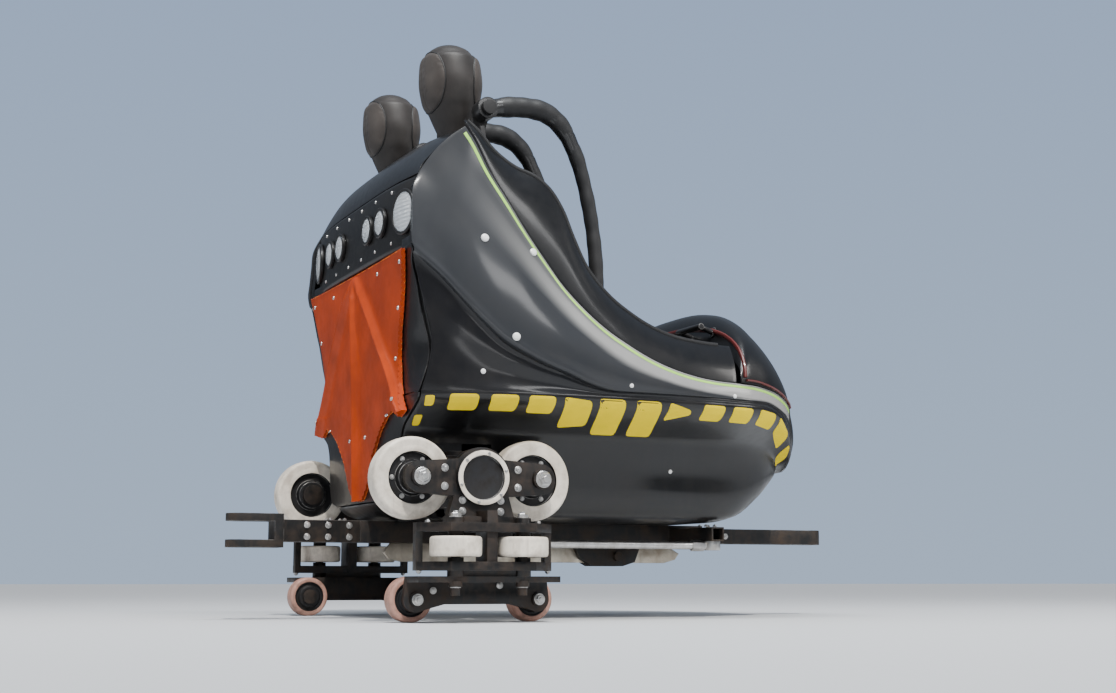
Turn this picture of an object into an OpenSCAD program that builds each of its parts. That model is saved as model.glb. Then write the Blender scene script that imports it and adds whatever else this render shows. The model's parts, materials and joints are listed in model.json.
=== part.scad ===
// Two-seat roller coaster car on one axle of swivelling bogies, for a track of two round rails.
// Millimetres, +X forward, +Z up. The tables below count x from the axle and z from the rail heads; the part itself stands on its lower wheels at z = 0.

/* [Track] */
// distance between the rails' centres
gauge = 920; // [800:1:1200]
// outside diameter of the rails
rail_d = 139.7; // [100:0.1:220]
// play between the rail and the wheels below it
up_play = 3; // [1:0.5:8]

/* [Load wheels] */
load_d = 210; // [150:1:300]
// width of the tread
load_w = 60; // [40:1:90]
// distance of each wheel from the axle's middle
load_x = 165; // [130:1:220]
load_tread = 26; // [10:1:40]

/* [Side wheels] */
side_d = 130; // [90:1:180]
side_w = 50; // [30:1:70]
side_x = 90; // [70:1:130]

/* [Lower wheels] */
up_d = 115; // [80:1:160]
up_w = 50; // [30:1:70]
up_x = 165; // [120:1:220]

/* [Bogie] */
// how far the kingpin stands inside the rail's centre
kingpin_in = 115; // [90:1:150]
kingpin_r = 18; // [12:0.5:30]
eye_r = 34; // [26:1:48]
stub_r = 20; // [12:0.5:30]
small_stub_r = 12; // [8:0.5:20]
// radial play of a wheel or bogie on its pin
bearing_play = 0.05; // [0.01:0.01:0.1]
// outer plate's inner face, outside the rail's centre
plate_out = 50; // [45:1:80]
plate_t = 30; // [12:1:40]
shelf_t = 22; // [12:1:30]
bracket_t = 18; // [10:1:30]
beam_x = 45; // [30:1:50]
hub_cap_r = 70; // [40:1:90]

/* [Chassis] */
spine_w = 80; // [50:1:140]
spine_h = 60; // [40:1:100]
spine_wall = 4; // [3:0.5:10]
spine_top = 12; // [0:1:40]
axle_half = 50; // [35:1:70]
axle_h = 130; // [90:1:180]
axle_wall = 11; // [4:1:16]
lug_t = 21; // [12:1:30]
// gap between a kingpin lug and the bogie's eye
lug_gap = 2.5; // [1:0.5:5]
front_eye_x = 1330; // [1200:1:1500]
rear_eye_x = -490; // [-650:1:-350]
coupling_r = 16; // [8:0.5:25]
coupling_eye_r = 36; // [24:1:60]
tongue_w = 64; // [40:1:100]
tongue_h = 45; // [30:1:60]
fork_gap = 50; // [46:1:80]
rod_r = 11; // [8:0.5:20]
rod_y = 260; // [200:1:300]
rod_rear_x = 225; // [180:1:300]
rod_front_x = 830; // [700:1:880]
fin_t = 12; // [6:1:20]
fin_h = 52; // [30:1:90]

/* [Body] */
// length of the shells; the tables below are drawn for 1290
body_l = 1290; // [1000:1:1500]
// width of the shells; the tables are drawn for 1100
body_w = 1100; // [900:1:1300]
// height of the flanks' peak over the rail heads; the tables are drawn for 1040
body_h = 1040; // [800:1:1250]
// thickness of the glass-fibre shells
skin = 6; // [3:0.5:12]
// seam between two shells
seam = 0.4; // [0.1:0.1:1]
panel_t = 8; // [4:1:14]
seat_y = 255; // [200:1:300]
seat_w = 400; // [340:1:460]
seat_top = 1062; // [1000:1:1100]
seat_wall = 12; // [6:1:20]
head_h = 268; // [200:1:320]

/* [Lap bars] */
bar_r = 19; // [12:1:30]
// half the distance between a bar's two arms
bar_half = 138; // [110:1:150]
pivot_r = 12; // [8:0.5:16]
pad_r = 46; // [34:1:60]
arm_wall = 4; // [2:0.5:8]

/* [Hidden] */
$fn = 48;
load_y = gauge / 2;
load_z = load_d / 2;
side_y = gauge / 2 + rail_d / 2 + side_d / 2;
side_z = -rail_d / 2;
up_z = -rail_d - up_play - up_d / 2;
floor_z = -rail_d - up_play - up_d;
x_mid = (front_eye_x + rear_eye_x) / 2;
spine_z = spine_top - spine_h;
kingpin_y = load_y - kingpin_in;
plate_y = load_y + plate_out;
rim_r = load_d / 2 - load_tread;
eye_h = axle_h - 2 * lug_t + 2;

// half-width of the body along its belt line
WIDTH = [[-140, 462], [-110, 480], [-60, 503], [0, 522], [100, 542], [250, 550], [450, 550], [650, 538], [800, 512], [900, 474], [980, 422], [1040, 360], [1090, 285], [1120, 215], [1140, 145], [1150, 80]];
// height of the seam between the lower hull and the flanks
BELT = [[-140, 330], [900, 330], [960, 318], [1010, 292], [1060, 246], [1100, 205], [1130, 178], [1150, 165]];
// lowest line of the hull
KEEL = [[-140, 60], [-90, 25], [-30, 12], [840, 12], [900, 26], [970, 66], [1040, 116], [1090, 150], [1120, 166], [1150, 164]];
// upper edge of the grey flanks: x, z
FLANK_TOP = [[-30, 1040], [-5, 1000], [35, 920], [85, 840], [135, 762], [195, 680], [240, 622], [290, 570], [355, 516], [430, 470], [500, 436], [565, 414], [630, 399], [700, 391], [770, 389], [840, 388], [930, 378], [1000, 362], [1050, 344]];
// its lower end for each of the same stations
FLANK_FOOT = [-138.5, -98, -60, -20, 30, 90, 150, 210, 280, 355, 430, 500, 570, 645, 720, 800, 900, 985, 1050];
// where the crease under the swept upper band crosses each station, as a share of the height, and the step there
CREASE = [[0.50, 15], [0.44, 16], [0.385, 16], [0.335, 16], [0.29, 16], [0.265, 16], [0.24, 15], [0.22, 14], [0.16, 11], [0.10, 8], [0.12, 6], [0.155, 5], [0.19, 4], [0.21, 4], [0.22, 4], [0.22, 4], [0.25, 3], [0.2, 2], [0.15, 1]];
// how far the rear edge stands off the straight line from foot to peak
REAR_EDGE = [[0, 0], [0.14, 17], [0.3, -30], [0.55, -98], [0.75, -112], [0.86, -88], [0.95, -40], [1, 0]];
// upper rim of the black cockpit side: x, z, half-width
RIM = [[-22, 1066, 458], [10, 1040, 462], [60, 985, 466], [120, 945, 470], [175, 925, 474], [215, 895, 477], [250, 845, 480], [285, 765, 482], [325, 685, 484], [395, 608, 486], [450, 570, 487], [505, 540, 488], [580, 514, 488], [668, 502, 484], [776, 500, 468]];
// rear lamps on each side: y, z, radius
LAMPS = [[392, 812, 62], [236, 812, 42], [128, 812, 42]];
// rear face: x of its middle line by height
REAR_MID = [[60, -148], [300, -154], [500, -161], [700, -168], [905, -168]];
// orange rear panel: half-width by height, and lower edge by share of the half-width
PANEL_WIDTH = [[285, 388], [360, 348], [430, 335], [500, 350], [610, 393], [706, 425]];
PANEL_FOOT = [[0, 66], [0.1, 70], [0.2, 102], [0.33, 185], [0.5, 248], [0.66, 284], [0.78, 294], [0.9, 272], [1, 286]];
// hood from its rear lip to the nose: edge x, edge z, crown x, crown z
HOOD = [[786, 392, 800, 520], [822, 391, 838, 640], [850, 390, 862, 648], [895, 384, 900, 622], [945, 377, 950, 578], [1000, 363, 1000, 518], [1050, 345, 1045, 455], [1052, 300, 1085, 405], [1062, 251, 1120, 362], [1090, 223, 1142, 300], [1112, 203, 1148, 240], [1128, 188, 1140, 190]];
// the hull's section: share of the half-width, share of the height
HULL_SECTION = [[1, 1], [1, 0.965], [0.985, 0.93], [0.93, 0.87], [0.80, 0.76], [0.725, 0.68], [0.70, 0.55], [0.68, 0.35], [0.66, 0.15], [0.62, 0.05], [0.52, 0.01], [0.3, 0], [0, 0]];
// headrest from its neck up: share of the height, half-width, half-depth, x
HEADREST = [[0, 60, 38, 16], [0.08, 65, 43, 13], [0.16, 72, 48, 9], [0.28, 83, 56, 5], [0.43, 95, 66, 1], [0.6, 101, 71, 0], [0.75, 96, 70, -2], [0.87, 82, 60, -4], [0.955, 54, 42, -6], [1, 18, 14, -8]];
// cowl behind the seats, from the lamps up: z at the flanks, x and z on the middle line
COWL = [[906.5, -169, 906.5], [935, -163, 936], [962, -150, 968], [988, -127, 1000], [1008, -98, 1025], [1023, -64, 1045], [1033, -26, 1057], [1036, 18, 1061]];
// lap bar arm from its pivot to the rider's lap: x, z, radius
BAR_PATH = [[62, 1119, 22], [95, 1128, 26], [140, 1136, 27], [190, 1139, 27], [238, 1133, 27], [278, 1110, 25], [311, 1068, 22], [338, 1012, 20], [358, 948, 19], [374, 880, 19], [386, 810, 19], [394, 740, 19], [399, 660, 19], [400, 590, 19]];

bar_pivot = BAR_PATH[0];
bar_end = BAR_PATH[len(BAR_PATH) - 1];

module on_floor() { translate([-x_mid, 0, -floor_z]) children(); }
// the shells' own tables, brought to the body's length, width and height on the chassis
module body() { on_floor() translate([0, 0, spine_top]) scale([body_l / 1290, body_w / 1100, body_h / 1040]) translate([0, 0, -12]) children(); }
module side_of(left) { if (left) children(); else mirror([0, 1, 0]) children(); }
module along_y(r, y0, y1, x, z) { translate([x, y0, z]) rotate([-90, 0, 0]) cylinder(r = r, h = y1 - y0); }
module block(a, b) { translate(a) cube(b - a); }
module box_tube(a, b, t, along) {
  inner = [for (k = [0:2]) k == along ? 1 : t];
  difference() { block(a, b); block([for (k = [0:2]) k == along ? a[k] - 1 : a[k] + inner[k]], [for (k = [0:2]) k == along ? b[k] + 1 : b[k] - inner[k]]); }
}

// a shell between a grid of points and the same grid moved along its normals by t
function at(g, i, j) = g[max(0, min(len(g) - 1, i))][max(0, min(len(g[0]) - 1, j))];
function unit(v) = v / max(norm(v), 1e-9);
function inset(g, t) = [for (i = [0:len(g) - 1]) [for (j = [0:len(g[0]) - 1]) g[i][j] + t * unit(cross(at(g, i + 1, j) - at(g, i - 1, j), at(g, i, j + 1) - at(g, i, j - 1)))]];
module grid_solid(a, b) {
  nu = len(a); nv = len(a[0]); n = nu * nv;
  polyhedron(points = concat([for (r = a) for (p = r) p], [for (r = b) for (p = r) p]), faces = concat(
    [for (i = [0:nu - 2]) for (j = [0:nv - 2]) each [[i * nv + j, i * nv + j + 1, (i + 1) * nv + j + 1], [i * nv + j, (i + 1) * nv + j + 1, (i + 1) * nv + j]]],
    [for (i = [0:nu - 2]) for (j = [0:nv - 2]) each [[n + i * nv + j, n + (i + 1) * nv + j + 1, n + i * nv + j + 1], [n + i * nv + j, n + (i + 1) * nv + j, n + (i + 1) * nv + j + 1]]],
    [for (i = [0:nu - 2]) each [[i * nv, (i + 1) * nv, n + (i + 1) * nv], [i * nv, n + (i + 1) * nv, n + i * nv]]],
    [for (i = [0:nu - 2]) let (e = nv - 1) each [[i * nv + e, n + (i + 1) * nv + e, (i + 1) * nv + e], [i * nv + e, n + i * nv + e, n + (i + 1) * nv + e]]],
    [for (j = [0:nv - 2]) each [[j, n + j + 1, j + 1], [j, n + j, n + j + 1]]],
    [for (j = [0:nv - 2]) let (r = (nu - 1) * nv) each [[r + j, r + j + 1, n + r + j + 1], [r + j, n + r + j + 1, n + r + j]]]));
}
module shell(g, t) { grid_solid(g, inset(g, t)); }
// a closed solid through rings of points
module ring_loft(rings) {
  n = len(rings[0]); m = len(rings);
  polyhedron(points = [for (r = rings) for (p = r) p], faces = concat(
    [for (i = [0:m - 2]) for (j = [0:n - 1]) let (k = (j + 1) % n) each [[i * n + j, i * n + k, (i + 1) * n + k], [i * n + j, (i + 1) * n + k, (i + 1) * n + j]]],
    [[for (j = [n - 1:-1:0]) j]], [[for (j = [0:n - 1]) (m - 1) * n + j]]));
}

function width(x) = lookup(x, WIDTH);
function flank_point(i, v, inset_z) =
  let (top = FLANK_TOP[i], foot = FLANK_FOOT[i], zf = lookup(foot, BELT) + inset_z, c = CREASE[i],
    fade = max(0, 1 - i / 6), swell = max(0, min(1, (950 - foot) / 400)), tall = min(1, (top[1] - zf) / 300),
    step = v <= c[0] ? c[1] * min(1, v / c[0] / 0.4) : 0,
    x = foot + (top[0] - foot) * v + fade * fade * lookup(v, REAR_EDGE), z = zf + (top[1] - zf) * v)
  [x, width(x) + tall * swell * (34 * sin(180 * v) - 34 * v * v) - step, z];
// rows of a station: up to the crease, over its step, and on to the upper edge
function flank_rows(c) = concat([for (k = [0, 0.4, 0.75, 1]) k * c], [for (k = [0.02, 0.1, 0.22, 0.36, 0.5, 0.64, 0.78, 0.9, 1]) c + (1 - c) * k]);
flank_grid = [for (i = [0:len(FLANK_TOP) - 1]) [for (v = flank_rows(CREASE[i][0])) flank_point(i, v, seam + (FLANK_FOOT[i] > 900 ? 0.5 : 0))]];

module axle_beam() color("#1d1f21") on_floor() {
  z0 = load_z - axle_h / 2; end = kingpin_y - eye_r - 11;
  box_tube([-axle_half, -end, z0], [axle_half, end, z0 + axle_h], axle_wall, 1);
  for (s = [-1, 1]) {
    block([-axle_half, s > 0 ? end - 12 : -end, z0], [axle_half, s > 0 ? end : 12 - end, z0 + axle_h]);
    for (z = [load_z - eye_h / 2 - lug_gap - lug_t, load_z + eye_h / 2 + lug_gap]) {
      translate([0, s * kingpin_y, z]) cylinder(r = eye_r, h = lug_t);
      block([-eye_r, s > 0 ? end - 10 : -kingpin_y, z], [eye_r, s > 0 ? kingpin_y : 10 - end, z + lug_t]);
    }
    translate([0, s * kingpin_y, load_z - eye_h / 2 - lug_t - 14]) cylinder(r = kingpin_r, h = eye_h + 2 * lug_t + 28);
    for (z = [load_z - eye_h / 2 - lug_t - lug_gap - 13, load_z + eye_h / 2 + lug_t + lug_gap - 1]) translate([0, s * kingpin_y, z]) cylinder(r = kingpin_r + 8, h = 14);
  }
  block([-axle_half, -spine_w / 2, spine_top], [axle_half, spine_w / 2, z0 + 1]);
}

// a tube across the spine that carries the radius rods' ends
module cross_member(x) { box_tube([x - 20, -rod_y - 38, spine_z + 8], [x + 20, rod_y + 38, spine_z + 48], spine_wall, 1); }
module spine() color("#1b1c1e") on_floor() {
  difference() {
    union() {
      block([-150, -spine_w / 2, spine_z], [920, spine_w / 2, spine_top]);
      for (x = [rod_rear_x - 20, rod_front_x]) block([x - 20, -rod_y - 38, spine_z + 8], [x + 20, rod_y + 38, spine_z + 48]);
    }
    for (x = [rod_rear_x - 20, rod_front_x]) for (s = [-1, 1]) block([x - 20 + spine_wall, s > 0 ? spine_w / 2 + 1 : -rod_y - 39, spine_z + 8 + spine_wall], [x + 20 - spine_wall, s > 0 ? rod_y + 39 : -spine_w / 2 - 1, spine_z + 48 - spine_wall]);
    block([-151, -spine_w / 2 + spine_wall, spine_z + spine_wall], [921, spine_w / 2 - spine_wall, spine_top - spine_wall]);
  }
  for (x = [[-160, -145], [912, 925]]) block([x[0], -spine_w / 2, spine_z], [x[1], spine_w / 2, spine_top]);
}

module front_coupling() color("#2a2c2e") on_floor() difference() {
  z = spine_z + (spine_h - tongue_h) / 2;
  union() {
    box_tube([925, -tongue_w / 2, z], [front_eye_x - 20, tongue_w / 2, z + tongue_h], 6, 0);
    translate([front_eye_x, 0, z]) cylinder(r = coupling_eye_r, h = tongue_h);
    block([front_eye_x - 60, -tongue_w / 2, z], [front_eye_x, tongue_w / 2, z + tongue_h]);
  }
  translate([front_eye_x, 0, z - 5]) cylinder(r = coupling_r, h = tongue_h + 10);
}

module rear_coupling() color("#2a2c2e") on_floor() difference() {
  z = spine_z + spine_h / 2;
  union() {
    block([rear_eye_x + 100, -34, spine_z], [-160, 34, spine_top]);
    for (s = [-1, 1]) {
      zl = s > 0 ? z + fork_gap / 2 : z - fork_gap / 2 - lug_t;
      translate([rear_eye_x, 0, zl]) cylinder(r = coupling_eye_r, h = lug_t);
      block([rear_eye_x, -coupling_eye_r, zl], [rear_eye_x + 110, coupling_eye_r, zl + lug_t]);
    }
    block([rear_eye_x + 90, -coupling_eye_r, z - fork_gap / 2 - lug_t], [rear_eye_x + 115, coupling_eye_r, z + fork_gap / 2 + lug_t]);
  }
  translate([rear_eye_x, 0, z - 80]) cylinder(r = coupling_r, h = 160);
}

module brake_fin() color("#c9c3b4") on_floor() {
  translate([0, fin_t / 2, spine_z]) rotate([90, 0, 0]) linear_extrude(fin_t) polygon([[-60, 0], [820, 0], [862, -fin_h * 0.45], [848, -fin_h * 0.8], [810, -fin_h], [-30, -fin_h], [-66, -fin_h * 0.85], [-80, -fin_h * 0.5]]);
}

module chain_dog() color("#151617") on_floor() {
  for (s = [-1, 1]) translate([0, s > 0 ? 27 : -fin_t / 2 - 1, spine_z]) rotate([90, 0, 0]) linear_extrude(27 - fin_t / 2 - 1) polygon([[500, 0], [720, 0], [700, -50], [660, -62], [560, -62], [520, -40]]);
  for (s = [-1, 1]) along_y(14, s > 0 ? 27 : -41, s > 0 ? 41 : -27, 640, spine_z - 34);
}

module radius_rod(left) color("#b9bcbe") on_floor() side_of(left) {
  z = spine_z - 5;
  translate([rod_rear_x - 20, rod_y, z]) rotate([0, 90, 0]) cylinder(r = rod_r, h = rod_front_x - rod_rear_x + 20);
  for (x = [rod_rear_x - 20, rod_front_x]) translate([x, rod_y, z - 13]) cylinder(r = 25, h = 26);
  for (x = [rod_rear_x + 8, rod_front_x - 68]) translate([x, rod_y, z]) rotate([0, 90, 0]) cylinder(r = rod_r + 5, h = 40, $fn = 6);
}

module hull() color("#101112") body() difference() {
  stations = concat(FLANK_FOOT, [1075, 1096, 1112]);
  g = [for (x = stations) let (w = width(x), zb = lookup(x, BELT) - seam, zk = lookup(x, KEEL), n = len(HULL_SECTION))
    [for (k = [-(n - 1):n - 1]) let (a = HULL_SECTION[n - 1 - abs(k)]) [x, (k < 0 ? 1 : -1) * w * a[0], zk + (zb - zk) * a[1]]]];
  shell(g, -skin);
  for (s = [-1, 1]) block([-axle_half - 40, s > 0 ? 240 : -420, 4], [axle_half + 40, s > 0 ? 420 : -240, 205]);
  block([-axle_half - 1, -spine_w / 2 - 1, 0], [axle_half + 1, spine_w / 2 + 1, 45]);
}

// the curved rear: side edges that meet the flanks and the hull, and a point at y and z, off mm behind it
function rear_edge(z) = z < 330 ? let (f = (z - 60) / 270) [-145.1, 462 * lookup(f, [for (k = [len(HULL_SECTION) - 1:-1:0]) [HULL_SECTION[k][1], HULL_SECTION[k][0]]])]
  : let (p = flank_point(0, (z - 330) / 710, 0)) [p[0], p[1] + rear_drop(z)];
// how far the flank's rear edge is set in under its crease
function rear_drop(z) = let (v = (z - 330) / 710, c = CREASE[0]) v > 0 && v <= c[0] ? c[1] * min(1, v / c[0] / 0.4) : 0;
function rear_point(y, z, off) = let (e = rear_edge(z), m = lookup(z, REAR_MID), c = min(1.1, abs(y) / e[1])) [m + (e[0] - m) * pow(c, 3.5) - off, y, z];
REAR_C = [-1, -0.96, -0.88, -0.75, -0.5, -0.25, 0, 0.25, 0.5, 0.75, 0.88, 0.96, 1];

module rear_skirt() color("#101112") body()
  shell([for (z = [62, 66, 75, 100, 140, 190, 225, 250, 275, 297, 310, 326]) [for (c = REAR_C) rear_point(c * (rear_edge(z)[1] - 1), z, 0)]], -skin);

module rear_wall() color("#141516") body()
  shell([for (z = [331, 345, 370, 400, 450, 500, 560, 620, 683, 693, 713.5]) [for (c = REAR_C) rear_point(c * (rear_edge(z)[1] - rear_drop(z) - skin - 9), z, 0)]], -skin);

// the inner skin's foot stays level with the outer one, clear of the hull
flank_inner = let (g = inset(flank_grid, skin)) [for (i = [0:len(g) - 1]) [for (j = [0:len(g[0]) - 1]) j == 0 ? [g[i][0][0], g[i][0][1], flank_grid[i][0][2]] : g[i][j]]];
module flank(left) color("#4a4c50") body() side_of(left) grid_solid(flank_grid, flank_inner);

module cockpit_side(left) color("#17181a") body() side_of(left) {
  n = len(RIM);
  lower = [for (i = [0:n - 1]) let (p = flank_point(i, 1, seam)) [p[0], p[1], p[2] + seam]];
  g = [for (i = [0:n - 1]) [for (v = [0, 0.2, 0.45, 0.72, 1]) let (a = lower[i], b = [RIM[i][0], RIM[i][2], RIM[i][1]], q = a + (b - a) * v) [q[0], q[1] + 10 * sin(180 * v), q[2]]]];
  shell(g, skin);
}

module hood() color("#141518") body() {
  th = [0, 4, 12, 24, 38, 54, 72, 90, 108, 126, 142, 156, 168, 176, 180];
  g = [for (h = HOOD) [for (t = th) let (c = cos(t), s = sin(t), w = width(h[0]))
    [h[0] + (h[2] - h[0]) * s, sign(c) * w * pow(abs(c), 0.8), h[1] + seam + (h[3] - h[1]) * pow(s, 0.9)]]];
  shell(g, skin);
}

module grab_handles() color("#202224") body() for (s = [-1, 1]) translate([0, s * seat_y, 0]) {
  d = [-0.948, 0, 0.319]; foot = [814, 0, 562] - 0.4 * d;
  for (t = [-60, 60]) {
    translate(foot + [0, t, 0]) rotate([0, atan2(d[0], d[2]), 0]) cylinder(r = 8, h = 48);
    translate(foot + [0, t, 0]) rotate([0, atan2(d[0], d[2]), 0]) cylinder(r = 16, h = 5);
  }
  translate(foot + 48 * d - [0, 70, 0]) rotate([-90, 0, 0]) cylinder(r = 9, h = 140);
}

module rear_cowl() color("#1a1b1d") body()
  shell([for (r = COWL) let (e = rear_edge(r[0])) [for (c = REAR_C) let (k = pow(abs(c), 3.5)) [r[1] + (e[0] - r[1]) * k, c * (e[1] - skin - 4), r[2] + (r[0] - r[2]) * k]]], -skin);

// the lamp strip's face is one upright curve, so that the lamps sit flat on it
function lamp_x(y) = -178 + 30 * pow(abs(y) / 460, 4);
module lamp_bar() color("#0c0d0e") body()
  shell([for (z = [714, 728, 812, 892, 904]) [for (c = REAR_C) let (y = c * (rear_edge(z)[1] - skin - 4)) [lamp_x(y) + (z > 720 && z < 900 ? 0 : 9), y, z]]], -10);

module tail_lamps() color("#dfe6ea") body() for (s = [-1, 1]) for (l = LAMPS) let (slope = (lamp_x(l[0] + 10) - lamp_x(l[0] - 10)) / 20)
  translate([lamp_x(l[0]), s * l[0], l[1]]) rotate([0, 0, -s * atan(slope)]) rotate([0, -90, 0]) translate([0, 0, 0.7]) {
    cylinder(r = l[2], h = 10);
    translate([0, 0, 9]) cylinder(r1 = l[2] - 3, r2 = l[2] - 14, h = 5);
  }

// raised ribs of the orange panel: height of the relief at a point
function ridge(d, w) = exp(-d * d / (w * w));
function rib_relief(y, z) = let (a = abs(y), t = max(0, min(1, (700 - z) / 420)), d = a - 380 * pow(t, 0.85)) 19 * ridge(d, 17) * min(1, (706 - z) / 60) + 19 * ridge(a, 15 + 12 * (1 - t)) * (z < 640 ? 1 : (706 - z) / 66);
module rear_panel() color("#e2590c") body() {
  cols = [for (k = [-18:18]) k / 18];
  g = [for (v = [0, 0.04, 0.1, 0.17, 0.25, 0.34, 0.43, 0.52, 0.61, 0.7, 0.79, 0.87, 0.94, 1]) [for (c = cols) let (z0 = lookup(abs(c), PANEL_FOOT), z = z0 + (706 - z0) * v, y = c * lookup(z, PANEL_WIDTH)) rear_point(y, z, panel_t + 0.9 + 3.5 * c * c + rib_relief(y, z))]];
  b = [for (v = [0, 0.04, 0.1, 0.17, 0.25, 0.34, 0.43, 0.52, 0.61, 0.7, 0.79, 0.87, 0.94, 1]) [for (c = cols) let (z0 = lookup(abs(c), PANEL_FOOT), z = z0 + (706 - z0) * v, y = c * lookup(z, PANEL_WIDTH)) rear_point(y, z, 0.9 + 3.5 * c * c)]];
  grid_solid(g, b);
}

// the seats' section: x, z along the back and the pan
SEAT_LINE = [[38, seat_top - 1.1], [75, 850], [136, 482], [150, 400], [180, 340], [240, 312], [400, 330], [480, 341], [520, 334], [540, 304]];
module seats() color("#1e1f21") body() {
  n = len(SEAT_LINE);
  for (s = [-1, 1]) translate([0, s * seat_y * 0.91 + seat_w / 2, 0]) rotate([90, 0, 0]) linear_extrude(seat_w) polygon(concat(
    [for (i = [0:n - 1]) let (q = SEAT_LINE[max(0, i - 1)], r = SEAT_LINE[min(n - 1, i + 1)], d = (r - q) / norm(r - q)) SEAT_LINE[i] + seat_wall / 2 * [-d[1], d[0]]],
    [for (i = [n - 1:-1:0]) let (q = SEAT_LINE[max(0, i - 1)], r = SEAT_LINE[min(n - 1, i + 1)], d = (r - q) / norm(r - q)) SEAT_LINE[i] - seat_wall / 2 * [-d[1], d[0]]]));
  // legs down to the floor, and side wings of each back
  for (s = [-1, 1]) for (y = [48, 155]) translate([0, s * y + 6, 0]) rotate([90, 0, 0]) linear_extrude(12) polygon([[215, 18.4], [440, 18.4], [440, 333], [400, 328], [240, 311], [215, 321]]);
  for (s = [-1, 1]) for (t = [-1, 1]) translate([0, s * (seat_y * 0.91) + t * (seat_w / 2 - 7) + 7, 0]) rotate([90, 0, 0]) linear_extrude(14)
    polygon([[45, 1000], [70, 990], [120, 900], [150, 780], [190, 600], [230, 470], [300, 395], [400, 372], [470, 350], [470, 342], [300, 320], [240, 316], [182, 344], [152, 402], [138, 484], [77, 852], [50, 1000]]);
  // ear and pin for each lap bar arm
  for (s = [-1, 1]) for (t = [-1, 1]) let (y = s * seat_y + t * (bar_half - 33)) {
    translate([0, y + 6, 0]) rotate([90, 0, 0]) linear_extrude(12) polygon([[35, 1030], [60, 1030], [88, bar_pivot[1]], [36, bar_pivot[1]], [30, 1061]]);
    along_y(26, y - 6, y + 6, bar_pivot[0], bar_pivot[1]);
    along_y(pivot_r, min(y, y + t * 66), max(y, y + t * 66), bar_pivot[0], bar_pivot[1]);
    along_y(20, min(y + t * 60, y + t * 70), max(y + t * 60, y + t * 70), bar_pivot[0], bar_pivot[1]);
  }
}

// padding of the back and the pan: x, z along the seat's line
BACK_PAD = [[44.5, 1024], [75, 850], [134.3, 492]];
PAN_PAD = [[200, 330.7], [240, 312], [400, 330], [480, 341], [516, 334.7]];
pad_w = 356; // [300:1:370]
module pad(line, rows, thick, side) {
  n = len(line) - 1;
  px = [for (i = [0:n]) [i, line[i][0]]]; pz = [for (i = [0:n]) [i, line[i][1]]];
  function grid(full) = [for (t = rows) let (p = [lookup(t, px), lookup(t, pz)], d0 = [lookup(t + 0.02, px), lookup(t + 0.02, pz)] - [lookup(t - 0.02, px), lookup(t - 0.02, pz)], d = d0 / norm(d0), e = sqrt(1 - pow(abs(2 * t / n - 1), 7)))
    [for (v = [-1, -0.985, -0.94, -0.85, -0.7, -0.45, 0, 0.45, 0.7, 0.85, 0.94, 0.985, 1]) let (a = sqrt(1 - pow(abs(v), 6)), h = seat_wall / 2 + 0.4 + (full ? max(1.5, e * a * (thick * (1 - 0.14 * v * v) + side * max(0, abs(v) - 0.7) / 0.3)) : 0), q = p + h * [-d[1], d[0]]) [q[0], v * pad_w / 2, q[1]]]];
  grid_solid(grid(true), grid(false));
}
module cushion(left) color("#222326") body() side_of(left) translate([0, seat_y * 0.91, 0]) {
  pad(BACK_PAD, [0, 0.02, 0.1, 0.3, 0.6, 1, 1.3, 1.6, 1.85, 1.95, 1.99, 2], 34, 22);
  pad(PAN_PAD, [0, 0.05, 0.3, 1, 1.5, 2, 2.6, 3, 3.5, 3.85, 3.97, 4], 30, 14);
}

module headrest(left) color("#2b2c2e") body() side_of(left) translate([10, seat_y, seat_top + 0.15])
  ring_loft([for (h = HEADREST) [for (a = [0:15:345]) [h[3] + h[2] * cos(a), h[1] * sin(a), h[0] * head_h]]]);

// a tube through stations of x, z and radius
module swept_tube(path, sides) ring_loft([for (i = [0:len(path) - 1]) let (p = path[i], q = path[max(0, i - 1)], r = path[min(len(path) - 1, i + 1)],
  d = unit([r[0] - q[0], 0, r[1] - q[1]]), n = [-d[2], 0, d[0]]) [for (k = [0:sides - 1]) let (a = 360 * k / sides) [p[0], 0, p[1]] + p[2] * (n * cos(a) + [0, sin(a), 0])]]);

module lap_bar(left) color("#1a1b1d") body() side_of(left) translate([0, seat_y, 0]) difference() {
  union() {
    for (s = [-1, 1]) translate([0, s * bar_half, 0]) swept_tube(BAR_PATH, 16);
    along_y(bar_r, -bar_half, bar_half, bar_end[0], bar_end[1]);
    for (s = [-1, 1]) {
      along_y(25, s * bar_half - 23, s * bar_half + 23, bar_end[0], bar_end[1]);
      along_y(30, s * bar_half - 24, s * bar_half + 24, bar_pivot[0], bar_pivot[1]);
    }
  }
  for (s = [-1, 1]) along_y(pivot_r + bearing_play, s * bar_half - 40, s * bar_half + 40, bar_pivot[0], bar_pivot[1]);
  // the arms and the bar between them are tubes
  along_y(bar_r - arm_wall, -bar_half - 30, bar_half + 30, bar_end[0], bar_end[1]);
  for (s = [-1, 1]) translate([0, s * bar_half, 0]) swept_tube([for (i = [2:len(BAR_PATH) - 1]) [BAR_PATH[i][0], BAR_PATH[i][1], BAR_PATH[i][2] - arm_wall]], 16);
}

module lap_pad(left) color("#232426") body() side_of(left) translate([bar_end[0], seat_y - bar_half + 23.3, bar_end[1]]) rotate([-90, 0, 0])
  linear_extrude(2 * bar_half - 46.6) difference() { circle(r = pad_r); circle(r = bar_r + 0.3); }

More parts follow.
